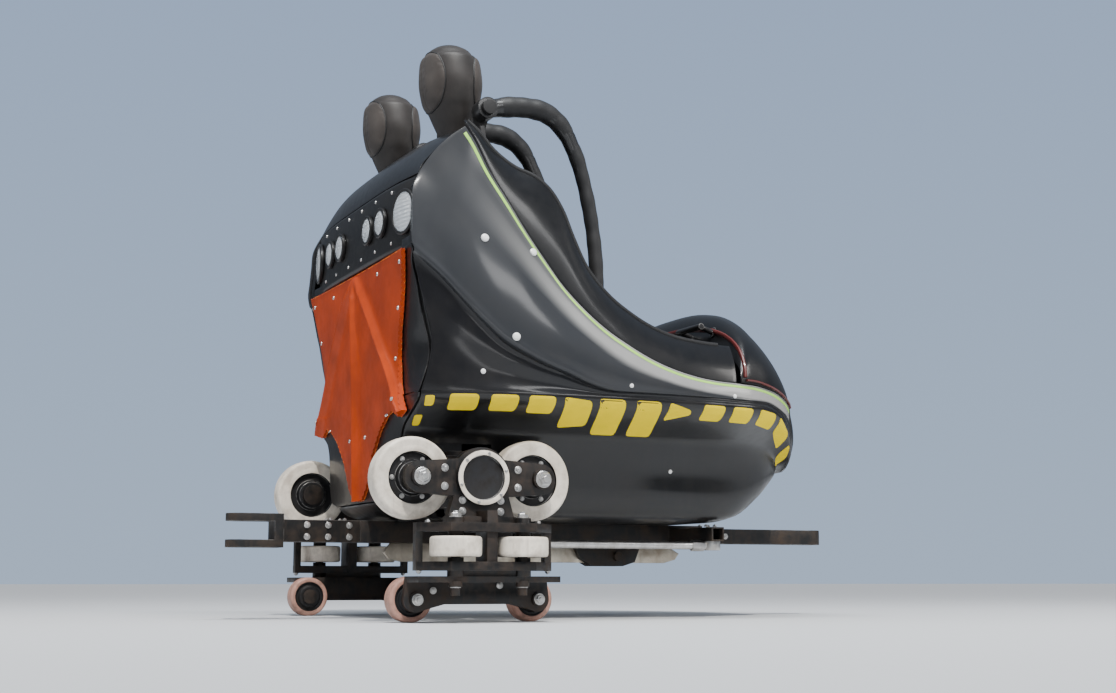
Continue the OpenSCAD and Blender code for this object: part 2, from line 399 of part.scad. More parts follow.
module bogie_frame(left) color("#17181a") on_floor() side_of(left) difference() {
  plate_end = plate_y + plate_t;
  shelf_z = side_z + side_w / 2 + 12; foot_z = side_z - side_w / 2 - 12 - shelf_t;
  up_out = load_y + up_w / 2; bracket_y = up_out + 15; bracket_top = -rail_d - up_play;
  union() {
    translate([0, kingpin_y, load_z - eye_h / 2]) cylinder(r = eye_r, h = eye_h);
    block([-beam_x + 8, kingpin_y, load_z - eye_h / 2 + 2], [beam_x - 8, load_y - load_w / 2, load_z + eye_h / 2 - 2]);
    block([-beam_x, load_y - load_w, load_z - 50], [beam_x, plate_y + 5, load_z + 50]);
    // plate with an arm to each load wheel
    along_y(78, plate_y, plate_end, 0, load_z);
    for (s = [-1, 1]) {
      along_y(40, plate_y, plate_end, s * load_x, load_z);
      translate([0, plate_end, load_z]) rotate([90, 0, 0]) linear_extrude(plate_t) polygon([[0, -52], [s * load_x, -40], [s * load_x, 40], [0, 52]]);
      along_y(stub_r, load_y - load_w / 2 - 8, plate_y + 5, s * load_x, load_z);
      along_y(30, load_y - load_w / 2 - 12, load_y - load_w / 2 - 2, s * load_x, load_z);
      along_y(30, load_y + load_w / 2 + 2, plate_y + 1, s * load_x, load_z);
      along_y(26, plate_end - 1, plate_end + 14, s * load_x, load_z);
    }
    translate([0, plate_end, 0]) rotate([90, 0, 0]) linear_extrude(plate_t) polygon([[-95, -12], [95, -12], [70, load_z - 30], [-70, load_z - 30]]);
    // shelves over and under the side wheels, with a web between them and a gusset at each end
    for (z = [shelf_z, foot_z]) translate([0, 0, z]) linear_extrude(shelf_t) polygon([[-side_x - 93, plate_end], [side_x + 93, plate_end], [side_x + 93, side_y - 30], [side_x + 24, side_y + 32], [-side_x - 24, side_y + 32], [-side_x - 93, side_y - 30]]);
    block([-95, plate_y + 3, -14], [95, plate_end + 35, 6]);
    block([-14, plate_end - 3, foot_z], [14, side_y + 20, 20]);
    for (s = [-1, 1]) block([s > 0 ? side_x + 75 : -side_x - 93, plate_end, foot_z], [s > 0 ? side_x + 93 : -side_x - 75, side_y - 32, shelf_z + shelf_t]);
    for (s = [-1, 1]) {
      translate([s * side_x, side_y, foot_z - 61]) cylinder(r = small_stub_r, h = shelf_z - foot_z + 80);
      translate([s * side_x, side_y, shelf_z + shelf_t - 1]) cylinder(r = 21, h = 14);
      translate([s * side_x, side_y, foot_z - 14]) cylinder(r = 21, h = 16);
      translate([s * side_x, side_y, foot_z - 40]) cylinder(r = 17, h = 14);
      for (z = [[side_z + side_w / 2 + 1.5, shelf_z + 1], [foot_z + shelf_t - 1, side_z - side_w / 2 - 1.5]]) translate([s * side_x, side_y, z[0]]) cylinder(r = 20, h = z[1] - z[0]);
    }
    // lower bracket with a stub for each lower wheel
    block([-up_x - 25, bracket_y, bracket_top - 15], [up_x + 25, plate_end + 65, bracket_top]);
    block([-80, plate_end + 10, bracket_top - 8], [80, plate_end + 60, foot_z + 8]);
    translate([0, bracket_y + bracket_t, 0]) rotate([90, 0, 0]) linear_extrude(bracket_t) polygon([[-up_x - 32, up_z], [-up_x - 25, bracket_top], [up_x + 25, bracket_top], [up_x + 32, up_z], [up_x, up_z - 32], [90, up_z - 12], [-90, up_z - 12], [-up_x, up_z - 32]]);
    for (s = [-1, 1]) {
      along_y(32, bracket_y, bracket_y + bracket_t, s * up_x, up_z);
      along_y(small_stub_r, load_y - up_w / 2 - 8, bracket_y + 5, s * up_x, up_z);
      along_y(21, load_y - up_w / 2 - 10, load_y - up_w / 2 - 2, s * up_x, up_z);
      along_y(20, up_out + 2, bracket_y + 1, s * up_x, up_z);
      along_y(18, bracket_y + bracket_t - 1, bracket_y + bracket_t + 12, s * up_x, up_z);
    }
  }
  translate([0, kingpin_y, load_z - eye_h]) cylinder(r = kingpin_r + bearing_play, h = 2 * eye_h);
}

module hub_cap(left) color("#c4c8ca") on_floor() side_of(left) difference() {
  along_y(hub_cap_r, plate_y + plate_t + 0.2, plate_y + plate_t + 16, 0, load_z);
  along_y(hub_cap_r - 14, plate_y + plate_t + 9, plate_y + plate_t + 20, 0, load_z);
}

function sx(front) = front ? 1 : -1;
module load_tyre(left, front) color("#efe6cf") on_floor() side_of(left) translate([sx(front) * load_x, load_y - load_w / 2, load_z]) rotate([-90, 0, 0])
  rotate_extrude() polygon([[rim_r, 0], [load_d / 2 - 6, 0], [load_d / 2, 6], [load_d / 2, load_w - 6], [load_d / 2 - 6, load_w], [rim_r, load_w]]);
module load_hub(left, front) color("#1f2022") on_floor() side_of(left) translate([sx(front) * load_x, load_y - load_w / 2, load_z]) rotate([-90, 0, 0])
  rotate_extrude() polygon([[stub_r + bearing_play, 0], [stub_r + 20, 0], [stub_r + 26, 12], [rim_r - 13, 12], [rim_r - 7, 2], [rim_r, 2], [rim_r, load_w - 2], [rim_r - 7, load_w - 2], [rim_r - 13, load_w - 12], [stub_r + 26, load_w - 12], [stub_r + 20, load_w], [stub_r + bearing_play, load_w]]);
module small_wheel(d, w) rotate_extrude() polygon([[small_stub_r + bearing_play, 0], [30, 0], [34, 6], [d / 2 - 18, 6], [d / 2 - 16, 0], [d / 2 - 5, 0], [d / 2, 5], [d / 2, w - 5], [d / 2 - 5, w], [d / 2 - 16, w], [d / 2 - 18, w - 6], [34, w - 6], [30, w], [small_stub_r + bearing_play, w]]);
module side_wheel(left, front) color("#e8dcc2") on_floor() side_of(left) translate([sx(front) * side_x, side_y, side_z - side_w / 2]) small_wheel(side_d, side_w);
module lower_wheel(left, front) color("#c89a86") on_floor() side_of(left) translate([sx(front) * up_x, load_y - up_w / 2, up_z]) rotate([-90, 0, 0]) small_wheel(up_d, up_w);

axle_beam();
spine();
front_coupling();
rear_coupling();
brake_fin();
chain_dog();
radius_rod(false);  // radius_rod_right
radius_rod(true);  // radius_rod_left
hull();
rear_skirt();
rear_wall();
flank(false);  // flank_right
flank(true);  // flank_left
cockpit_side(false);  // cockpit_side_right
cockpit_side(true);  // cockpit_side_left
hood();
grab_handles();
rear_cowl();
lamp_bar();
tail_lamps();
rear_panel();
seats();
cushion(false);  // cushion_right
cushion(true);  // cushion_left
headrest(false);  // headrest_right
headrest(true);  // headrest_left
lap_bar(false);  // lap_bar_right
lap_bar(true);  // lap_bar_left
lap_pad(false);  // lap_pad_right
lap_pad(true);  // lap_pad_left
bogie_frame(false);  // bogie_frame_right
bogie_frame(true);  // bogie_frame_left
hub_cap(false);  // hub_cap_right
hub_cap(true);  // hub_cap_left
load_tyre(false, true);  // load_tyre_rf
load_tyre(false, false);  // load_tyre_rr
load_tyre(true, true);  // load_tyre_lf
load_tyre(true, false);  // load_tyre_lr
load_hub(false, true);  // load_hub_rf
load_hub(false, false);  // load_hub_rr
load_hub(true, true);  // load_hub_lf
load_hub(true, false);  // load_hub_lr
side_wheel(false, true);  // side_wheel_rf
side_wheel(false, false);  // side_wheel_rr
side_wheel(true, true);  // side_wheel_lf
side_wheel(true, false);  // side_wheel_lr
lower_wheel(false, true);  // lower_wheel_rf
lower_wheel(false, false);  // lower_wheel_rr
lower_wheel(true, true);  // lower_wheel_lf
lower_wheel(true, false);  // lower_wheel_lr
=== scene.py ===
# %% [markdown]
# # Roller coaster car
# A car with two seats: a black hull with grey flanks, an orange panel behind, lap bars over the seats, and on
# each side a bogie with six wheels.
#
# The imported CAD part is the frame. It already has every solid at its true size and place, so this script only
# gives it what CAD leaves out: smooth skins, paint, upholstery, rounded edges and fixings. The skins are made
# again from the part's own tables instead of being bent from its faces, because a fresh grid has even quads and
# clean normals. Tables are in millimetres: x from the axle, y from the middle, z from the foot of the load
# wheels. `place` brings them to the frame's metres.

import bpy
import bmesh
import json
import math
import numpy as np
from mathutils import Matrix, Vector
from mathutils.bvhtree import BVHTree

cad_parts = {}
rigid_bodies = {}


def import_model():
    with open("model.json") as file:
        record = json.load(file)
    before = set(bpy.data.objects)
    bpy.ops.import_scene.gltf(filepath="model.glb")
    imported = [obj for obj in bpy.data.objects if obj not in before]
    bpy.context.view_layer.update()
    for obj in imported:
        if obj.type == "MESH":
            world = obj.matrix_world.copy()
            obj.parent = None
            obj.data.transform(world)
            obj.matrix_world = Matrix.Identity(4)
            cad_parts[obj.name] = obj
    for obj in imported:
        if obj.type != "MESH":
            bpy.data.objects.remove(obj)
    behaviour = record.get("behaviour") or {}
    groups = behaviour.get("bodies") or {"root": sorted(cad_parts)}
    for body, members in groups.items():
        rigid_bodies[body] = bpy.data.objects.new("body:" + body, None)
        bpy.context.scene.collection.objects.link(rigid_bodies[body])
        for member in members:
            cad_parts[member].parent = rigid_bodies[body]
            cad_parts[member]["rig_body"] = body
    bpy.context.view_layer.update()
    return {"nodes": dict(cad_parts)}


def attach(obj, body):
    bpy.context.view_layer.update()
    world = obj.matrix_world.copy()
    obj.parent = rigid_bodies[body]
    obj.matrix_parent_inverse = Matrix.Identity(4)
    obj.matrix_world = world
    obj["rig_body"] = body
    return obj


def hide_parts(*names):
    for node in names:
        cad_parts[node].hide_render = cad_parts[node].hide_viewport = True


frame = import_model()
cad = frame["nodes"]
# the row frame's origin in the tables' millimetres
REAR, FLOOR = 420.0, -257.7
SIDES = (("right", -1), ("left", 1))


def place(points):
    """Millimetres from the axle and the foot of the load wheels to metres in the row frame."""
    return (np.asarray(points, float) - [REAR, 0, FLOOR]) / 1000


# %% [markdown]
# ## Curves and surfaces
# The real shells were moulded over a smooth plug, so their lines have no corners between the points that we
# know. A NURBS surface or a subdivision surface would be smooth too, but both pull away from their control
# points. Hermite curves run through every point of a table, so the skins here and the solids in CAD agree at
# each row. `refine` works on a whole grid at once, along one axis and then along the other.

# %% Curves through a table's points
def lookup(at, table):
    """The value of a table of pairs at a place between its rows."""
    return np.interp(at, [row[0] for row in table], [row[1] for row in table])


def refine(points, steps, axis=0):
    """Adds points on smooth curves, so that each span has the given number of steps."""
    p = np.moveaxis(np.asarray(points, float), axis, 0)
    span = np.linalg.norm(np.diff(p, axis=0), axis=-1)
    span = (span.reshape(len(span), -1).mean(1) + 1e-6).reshape(-1, *(1,) * (p.ndim - 1))
    slope = np.diff(p, axis=0) / span
    m = np.empty_like(p)
    m[1:-1] = (slope[:-1] * span[1:] + slope[1:] * span[:-1]) / (span[1:] + span[:-1])
    m[0], m[-1] = 1.5 * slope[0] - 0.5 * m[1], 1.5 * slope[-1] - 0.5 * m[-2]
    rows = []
    for k in range(steps):
        t = k / steps
        rows.append(p[:-1] * (1 + 2 * t) * (1 - t) ** 2 + m[:-1] * span * t * (1 - t) ** 2
                    + p[1:] * t * t * (3 - 2 * t) + m[1:] * span * t * t * (t - 1))
    out = np.concatenate([np.stack(rows, 1).reshape(-1, *p.shape[1:]), p[-1:]])
    return np.moveaxis(out, 0, axis)


# %% Normals and rounded corners
def facing(grid):
    """The unit normal at every point of a grid."""
    n = np.cross(np.gradient(grid, axis=0), np.gradient(grid, axis=1))
    return n / np.maximum(np.linalg.norm(n, axis=-1, keepdims=True), 1e-9)


def rounded(outline, radius, steps=4):
    """Rounds the corners of a closed outline."""
    pts, out = np.asarray(outline, float), []
    for i, p in enumerate(pts):
        a, b = pts[i - 1] - p, pts[(i + 1) % len(pts)] - p
        la, lb = np.linalg.norm(a), np.linalg.norm(b)
        cut = min(radius, 0.45 * la, 0.45 * lb)
        s, e = p + a / la * cut, p + b / lb * cut
        for k in range(steps + 1):
            t = k / steps
            out.append(s * (1 - t) ** 2 + 2 * p * t * (1 - t) + e * t * t)
    return np.array(out)


# %% [markdown]
# ## From points to pieces
# Pieces drawn from points pass through `make`, and pieces that keep the shape of a CAD solid through
# `softened`. Both merge doubled points and round hard edges, because light catches a rounded edge as it does
# on real parts. A Bevel modifier could round them as well, but in bmesh the new faces can be marked, and the
# paint wears off just there. The shape sits in the mesh, and the object stays at the origin.

# %% Rounded edges that remember where they are
def round_off(bm, edges, width):
    """Rounds edges, and marks the new faces in a face corner attribute for the worn paint."""
    mark = bm.loops.layers.float.new("rounded_edge")
    edges = [e for e in edges if e.is_valid]
    rounded_faces = bmesh.ops.bevel(bm, geom=edges, offset=width / 1000, segments=2, profile=0.6,
        affect="EDGES", clamp_overlap=True)["faces"]
    for f in rounded_faces:
        for corner in f.loops:
            corner[mark] = 1.0


# %% Pieces
def make(name, verts, faces, material, body, stands_for=(), slot=None, sharp=38, attributes=None, rim=None,
         rim_width=1.2):
    """A closed mesh as a piece of the car. rim picks the faces round whose border a small rounding runs."""
    mesh = bpy.data.meshes.new(name)
    mesh.from_pydata([tuple(v) for v in place(verts)], [], faces)
    for key, values in (attributes or {}).items():
        mesh.attributes.new(key, "FLOAT", "POINT").data.foreach_set("value", np.asarray(values, np.float32))
    bm = bmesh.new()
    bm.from_mesh(mesh)
    bm.faces.ensure_lookup_table()
    if rim is not None:
        marked = {bm.faces[i] for i in rim}
        round_off(bm, [e for e in bm.edges if len({f in marked for f in e.link_faces}) == 2], rim_width)
    bmesh.ops.remove_doubles(bm, verts=bm.verts, dist=1e-6)
    bmesh.ops.recalc_face_normals(bm, faces=bm.faces)
    bm.to_mesh(mesh)
    bm.free()
    return finish_piece(name, mesh, material, body, stands_for, sharp)


def finish_piece(name, mesh, material, body, stands_for=(), sharp=38):
    """Shades a mesh, gives it its material and body, and hides the solids it stands for."""
    mesh.polygons.foreach_set("use_smooth", [True] * len(mesh.polygons))
    mesh.set_sharp_from_angle(angle=math.radians(sharp))
    mesh.materials.clear()
    mesh.materials.append(material)
    piece = bpy.data.objects.new(name, mesh)
    bpy.context.scene.collection.objects.link(piece)
    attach(piece, body)
    if stands_for:
        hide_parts(*stands_for)
    print(f"{name}: {len(mesh.polygons)} faces on {body}")
    return piece


# %% Two-sided sheets
def two_sided(rows, cols):
    """Faces of a grid, of its copy underneath and of the border between, and where the border's faces start."""
    count = rows * cols
    faces = [(i * cols + j, i * cols + j + 1, (i + 1) * cols + j + 1, (i + 1) * cols + j)
             for i in range(rows - 1) for j in range(cols - 1)]
    faces += [tuple(count + v for v in f[::-1]) for f in faces]
    left, right = [i * cols for i in range(rows)], [i * cols + cols - 1 for i in range(rows - 2, -1, -1)]
    loop = left + [(rows - 1) * cols + j for j in range(1, cols)] + right + list(range(cols - 2, 0, -1))
    start = len(faces)
    faces += [(a, count + a, count + b, b) for a, b in zip(loop, loop[1:] + loop[:1])]
    return faces, start


def shell(name, grid, thick, material, inside=(400, 0, 450), attributes=None, level_foot=False, **options):
    """A skin of even thickness under a grid of points, closed and with a rounded rim."""
    n = facing(grid)
    if (n * (np.asarray(inside, float) - grid)).sum() < 0:
        n = -n
    rows, cols = grid.shape[:2]
    inner = grid + n * thick
    if level_foot:
        inner[:, 0, 2] = grid[:, 0, 2]
    verts = np.concatenate([grid.reshape(-1, 3), inner.reshape(-1, 3)])
    top, at = rows * cols, lambda i, j: i * cols + j
    faces = [(at(i, j), at(i + 1, j), at(i + 1, j + 1), at(i, j + 1)) for i in range(rows - 1)
             for j in range(cols - 1)]
    faces += [tuple(top + v for v in f[::-1]) for f in faces]
    loop = [at(i, 0) for i in range(rows)] + [at(rows - 1, j) for j in range(1, cols)]
    loop += [at(i, cols - 1) for i in range(rows - 2, -1, -1)] + [at(0, j) for j in range(cols - 2, 0, -1)]
    start = len(faces)
    faces += [(a, top + a, top + b, b) for a, b in zip(loop, loop[1:] + loop[:1])]
    # an attribute has one value a point, so the inner skin gets the outer skin's values
    doubled = {k: np.concatenate([np.ravel(v), np.ravel(v)]) for k, v in (attributes or {}).items()}
    return make(name, verts, faces, material, attributes=doubled, rim=range(start, len(faces)), **options)


# %% Rods and turned parts
def tube_along(path, radius, around=12, squash=(1, 1)):
    """Vertices and faces of a rod along a path, with closed round ends."""
    path = np.asarray(path, float)
    radius = np.broadcast_to(np.asarray(radius, float), (len(path),))
    ahead = np.gradient(path, axis=0)
    ahead /= np.linalg.norm(ahead, axis=1, keepdims=True)
    side = np.cross(ahead[0], [0, 0, 1.0])
    if np.linalg.norm(side) < 0.1:
        side = np.cross(ahead[0], [0, 1.0, 0])
    verts = []
    for p, d, r in zip(path, ahead, radius):
        side = side - d * side.dot(d)
        side /= np.linalg.norm(side)
        up = np.cross(d, side)
        for k in range(around):
            a = 2 * math.pi * k / around
            verts.append(p + r * (squash[0] * math.cos(a) * side + squash[1] * math.sin(a) * up))
    faces = [(i * around + k, i * around + (k + 1) % around, (i + 1) * around + (k + 1) % around,
              (i + 1) * around + k) for i in range(len(path) - 1) for k in range(around)]
    first, last = len(verts), len(verts) + 1
    verts += [path[0], path[-1]]
    end = (len(path) - 1) * around
    faces += [(first, (k + 1) % around, k) for k in range(around)]
    faces += [(last, end + k, end + (k + 1) % around) for k in range(around)]
    return verts, faces


def turned(profile, centre, axis, around=64):
    """Vertices and faces of a closed profile (radius, height) turned about an axis through a centre."""
    axis = np.asarray(axis, float) / np.linalg.norm(axis)
    u = np.cross(axis, [0, 0, 1.0] if abs(axis[2]) < 0.9 else [1.0, 0, 0])
    u /= np.linalg.norm(u)
    w = np.cross(axis, u)
    verts, n = [], len(profile)
    for k in range(around):
        a = 2 * math.pi * k / around
        verts += [np.asarray(centre, float) + axis * h + (u * math.cos(a) + w * math.sin(a)) * r
                  for r, h in profile]
    faces = [(k * n + i, k * n + (i + 1) % n, ((k + 1) % around) * n + (i + 1) % n,
              ((k + 1) % around) * n + i) for k in range(around) for i in range(n)]
    return verts, faces


def together(parts):
    """Joins several (vertices, faces) pairs."""
    verts, faces = [], []
    for v, f in parts:
        faces += [tuple(len(verts) + i for i in face) for face in f]
        verts += [tuple(p) for p in v]
    return verts, faces


# %% A CAD part with rounded edges
def softened(node, material, width=1.2, sharp=35):
    """A CAD node's own shape with its hard edges rounded."""
    bm = bmesh.new()
    bm.from_mesh(cad[node].data)
    bmesh.ops.remove_doubles(bm, verts=bm.verts, dist=2e-6)
    bmesh.ops.dissolve_limit(bm, angle_limit=math.radians(0.6), verts=bm.verts, edges=bm.edges)
    hard = [e for e in bm.edges if len(e.link_faces) == 2 and e.calc_face_angle(0) > math.radians(40)]
    round_off(bm, hard, width)
    mesh = bpy.data.meshes.new(node + "_piece")
    bmesh.ops.triangulate(bm, faces=[f for f in bm.faces if len(f.verts) > 4])
    bm.to_mesh(mesh)
    bm.free()
    return finish_piece(node + "_piece", mesh, material, cad[node]["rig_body"], (node,), sharp)


# %% [markdown]
# ## Materials
# Outdoors a ride car is washed by rain and sprayed with grease from its wheels. Three effects are shared by
# the finishes, so each is a node group with named inputs: grime that gathers low down and runs in streaks,
# paint worn through at the edges, and a fine grain for the bump. Painting them as image textures would also
# work, but procedural masks in Object coordinates need no unwrapping and stay sharp at any distance. The
# groups put out masks and heights only. The shader itself stays in the material, where the export can read it.

# %% Node helpers
def step(tree, kind, inputs=None, **settings):
    """Adds a node; an input's value is a number, a colour or another node's output."""
    node = tree.nodes.new(kind)
    for key, value in settings.items():
        setattr(node, key, value)
    for key, value in (inputs or {}).items():
        socket = node.inputs[key]
        if isinstance(value, bpy.types.NodeSocket):
            tree.links.new(value, socket)
        else:
            socket.default_value = value
    return node


def group(name, inputs, outputs):
    """An empty node group, with what comes in (name: default) and what goes out."""
    tree = bpy.data.node_groups.new(name, "ShaderNodeTree")
    for key, value in inputs.items():
        tree.interface.new_socket(key, in_out="INPUT", socket_type="NodeSocketFloat").default_value = value
    for key in outputs:
        tree.interface.new_socket(key, in_out="OUTPUT", socket_type="NodeSocketFloat")
    return tree, tree.nodes.new("NodeGroupInput").outputs, tree.nodes.new("NodeGroupOutput").inputs


# %% Sums, ranges and patterns
def maths(tree, kind, a, b, clamp=False):
    """One sum of two values, such as ADD or MULTIPLY."""
    return step(tree, "ShaderNodeMath", {0: a, 1: b}, operation=kind, use_clamp=clamp).outputs[0]


def spread(tree, value, low, high):
    """Stretches the range from low to high over 0 to 1."""
    inputs = {"Value": value, "From Min": low, "From Max": high, "To Min": 0.0, "To Max": 1.0}
    return step(tree, "ShaderNodeMapRange", inputs, clamp=True).outputs[0]


def noise(tree, scale, detail=4.0, rough=0.55, stretch=None):
    """A cloud pattern in the piece's own coordinates."""
    where = step(tree, "ShaderNodeTexCoord").outputs["Object"]
    if stretch:
        where = step(tree, "ShaderNodeMapping", {"Vector": where, "Scale": stretch}).outputs[0]
    return step(tree, "ShaderNodeTexNoise",
        {"Vector": where, "Scale": scale, "Detail": detail, "Roughness": rough}).outputs["Fac"]


# %% Colours
def rgba(c):
    """A colour with full cover."""
    return (*c, 1.0)


def mixed(tree, factor, a, b):
    """Colour a changing to colour b as factor goes from 0 to 1."""
    node = tree.nodes.new("ShaderNodeMix")
    node.data_type = "RGBA"
    for socket, value in ((node.inputs[0], factor), (node.inputs[6], a), (node.inputs[7], b)):
        if isinstance(value, bpy.types.NodeSocket):
            tree.links.new(value, socket)
        else:
            socket.default_value = value
    return node.outputs[2]


# %% [markdown]
# Grime multiplies three things. The first is a cloud pattern, or where it is stronger a pattern stretched into
# vertical runs. The second is how low down the place is, and the third the amount that a finish asks for.

# %% Grime
grime_group, g_in, g_out = group("grime", {"Amount": 0.5, "Scale": 9.0, "Clean Height": 0.9}, ["Mask"])
t = grime_group
height = step(t, "ShaderNodeSeparateXYZ", {0: step(t, "ShaderNodeTexCoord").outputs["Object"]}).outputs["Z"]
low_down = step(t, "ShaderNodeMapRange",
    {"Value": height, "From Min": 0.05, "From Max": g_in["Clean Height"], "To Min": 1.0, "To Max": 0.22},
    clamp=True).outputs[0]
cloud = spread(t, noise(t, g_in["Scale"], 8.0, 0.62), 0.42, 0.68)
runs = spread(t, noise(t, g_in["Scale"], 5.0, 0.6, stretch=(3.0, 3.0, 0.35)), 0.5, 0.72)
both = maths(t, "MAXIMUM", cloud, maths(t, "MULTIPLY", runs, 0.7))
mask = maths(t, "MULTIPLY", maths(t, "MULTIPLY", both, low_down), g_in["Amount"], clamp=True)
t.links.new(mask, g_out["Mask"])

# %% [markdown]
# Wear needs to know where the edges are. A Bevel or Pointiness node could find them too, but one is slow and the
# other depends on how dense a mesh is. The rounding above already marked them in the attribute "rounded_edge".

# %% Worn edges
worn_group, w_in, w_out = group("worn edges", {"Amount": 0.5, "Scale": 32.0}, ["Mask"])
t = worn_group
edge = step(t, "ShaderNodeAttribute", attribute_name="rounded_edge").outputs["Fac"]
patchy = spread(t, noise(t, w_in["Scale"], 6.0, 0.65), 0.42, 0.56)
mask = maths(t, "MULTIPLY", maths(t, "MULTIPLY", edge, patchy), w_in["Amount"], clamp=True)
t.links.new(mask, w_out["Mask"])

# %% [markdown]
# Grain goes to the bump alone. "Pebbles" blends from fine noise, for paint, to small cells, for vinyl.

# %% Grain
grain_group, r_in, r_out = group("grain", {"Scale": 300.0, "Pebbles": 0.0}, ["Height"])
t = grain_group
where = step(t, "ShaderNodeTexCoord").outputs["Object"]
pebble = step(t, "ShaderNodeTexVoronoi", {"Vector": where, "Scale": r_in["Scale"]},
    feature="SMOOTH_F1").outputs["Distance"]
fine = noise(t, r_in["Scale"], 3.0)
grain_height = step(t, "ShaderNodeMix", {"Factor": r_in["Pebbles"], "A": fine, "B": pebble}).outputs[0]
t.links.new(grain_height, r_out["Height"])
print("shared effects:", ", ".join(tree.name for tree in (grime_group, worn_group, grain_group)))

# %% [markdown]
# A finish is a base colour with a soft mottle, then painted zones, dirt and wear laid over it in that order,
# because dirt lies on paint and a scratch goes through both. The dirt also makes the surface rougher and takes
# the clear coat away. A zone's place comes from an attribute of the mesh, so that it follows the moulded
# surface instead of cutting straight through it.

# %% Material maker
def surface(name, colour, rough=0.5, metal=0.0, coat=0.0, bands=(), mottle=0.12, mottle_scale=14.0,
            grime=0.4, grime_colour=(0.09, 0.075, 0.06), grime_scale=9.0, clean_height=0.9, worn=0.25,
            worn_colour=(0.35, 0.34, 0.33), worn_metal=0.0,
            grain=300.0, pebbles=0.0, bump=0.02, sheen=0.0, gloss=0.5):
    """A surface with its own dirt, wear and grain. bands: painted zones, as (attribute, colour)."""
    material = bpy.data.materials.new(name)
    material.use_nodes = True
    tree = material.node_tree
    tree.nodes.clear()
    out = step(tree, "ShaderNodeOutputMaterial")
    tint = mixed(tree, spread(tree, noise(tree, mottle_scale, 5.0), 0.35, 0.65), rgba(colour),
        rgba([c * (1 - mottle) for c in colour]))
    for attribute, paint in bands:
        tint = mixed(tree, step(tree, "ShaderNodeAttribute", attribute_name=attribute).outputs["Fac"], tint,
            rgba(paint))
    dirt = step(tree, "ShaderNodeGroup", {}, node_tree=grime_group)
    for key, value in (("Amount", grime), ("Scale", grime_scale), ("Clean Height", clean_height)):
        dirt.inputs[key].default_value = value
    wear = step(tree, "ShaderNodeGroup", {}, node_tree=worn_group)
    wear.inputs["Amount"].default_value = worn
    fine = step(tree, "ShaderNodeGroup", {}, node_tree=grain_group)
    fine.inputs["Scale"].default_value, fine.inputs["Pebbles"].default_value = grain, pebbles
    tint = mixed(tree, dirt.outputs["Mask"], tint, rgba(grime_colour))
    tint = mixed(tree, wear.outputs["Mask"], tint, rgba(worn_colour))
    shine = maths(tree, "ADD", rough, maths(tree, "MULTIPLY", dirt.outputs["Mask"], 0.45), clamp=True)
    smears = maths(tree, "MULTIPLY", spread(tree, noise(tree, 45.0), 0.3, 0.7), 0.07)
    shine = maths(tree, "ADD", shine, smears, clamp=True)
    shade = step(tree, "ShaderNodeBsdfPrincipled", {"Base Color": tint, "Roughness": shine})
    relief = step(tree, "ShaderNodeBump",
        {"Height": fine.outputs["Height"], "Strength": 0.6, "Distance": bump / 1000})
    tree.links.new(relief.outputs[0], shade.inputs["Normal"])
    if worn_metal:
        bare = maths(tree, "MULTIPLY", wear.outputs["Mask"], worn_metal)
        tree.links.new(maths(tree, "MAXIMUM", metal, bare), shade.inputs["Metallic"])
    else:
        shade.inputs["Metallic"].default_value = metal
    if coat:
        clean = maths(tree, "SUBTRACT", 1.0, dirt.outputs["Mask"], clamp=True)
        tree.links.new(maths(tree, "MULTIPLY", coat, clean), shade.inputs["Coat Weight"])
        shade.inputs["Coat Roughness"].default_value = 0.14
    shade.inputs["Sheen Weight"].default_value, shade.inputs["Specular IOR Level"].default_value = sheen, gloss
    tree.links.new(shade.outputs[0], out.inputs["Surface"])
    return material


# %% [markdown]
# The shells are gelcoat on glass fibre: nearly black, with a clear top layer whose soft highlights show the
# curves. The flanks get a slate field of paint and a silver streak under the green line, which is the sky's
# reflection painted into the colour; a faint slate wash below the crease paints soft light and shade. The orange
# panel has faded and is blotchy, with little gloss left.

# %% Shell finishes
black_shell = surface("black_fibreglass", (0.006, 0.0061, 0.0068), rough=0.28, coat=0.4, gloss=0.3, grime=0.3,
    worn=0.25, worn_colour=(0.10, 0.10, 0.105), bump=0.015, grain=90.0, grime_colour=(0.035, 0.030, 0.026))
# the first band is slate paint plus painted soft light below the crease; the second is the sky's reflection
# along the flank, painted into the colour
grey_shell = surface("grey_fibreglass", (0.007, 0.007, 0.0085),
    bands=(("slate_and_painted_glow", (0.028, 0.030, 0.034)), ("painted_sky_streak", (0.35, 0.345, 0.335))), rough=0.34, coat=0.5,
    gloss=0.15, grime=0.25, worn=0.25, worn_colour=(0.2, 0.2, 0.2), bump=0.015, grain=90.0,
    grime_colour=(0.06, 0.053, 0.045))
orange_shell = surface("orange_fibreglass", (0.52, 0.050, 0.0), rough=0.42, coat=0.12, gloss=0.25,
    mottle=0.35, mottle_scale=7.0, grime=0.45, grime_colour=(0.15, 0.02, 0.0), clean_height=1.2, worn=0.6,
    worn_colour=(0.9, 0.24, 0.02), bump=0.02, grain=90.0)
lamp_strip_black = surface("lamp_strip_black", (0.006, 0.006, 0.0065), rough=0.42, coat=0.2, gloss=0.3,
    grime=0.25, worn=0.2, bump=0.03, grain=240.0)

# %% [markdown]
# The stripes are paint with hardly any gloss, because bright yellow and green that mirror the sky turn pale.
# The trim round the hood is dark red rubber with a faint shine.

# %% Stripe and trim finishes
yellow_paint = surface("yellow_paint", (1.0, 0.74, 0.0), rough=0.55, gloss=0.05, mottle=0.06, grime=0.2,
    grime_colour=(0.30, 0.20, 0.04), worn=0.4, worn_colour=(0.03, 0.03, 0.03), bump=0.02)
green_paint = surface("pale_green_line", (0.40, 0.74, 0.13), rough=0.45, gloss=0.2, grime=0.25, worn=0.3,
    worn_colour=(0.1, 0.1, 0.1))
red_trim = surface("dark_red_trim", (0.12, 0.012, 0.010), rough=0.42, coat=0.2, grime=0.3, worn=0.5,
    worn_colour=(0.5, 0.30, 0.28), grain=260.0, bump=0.04)

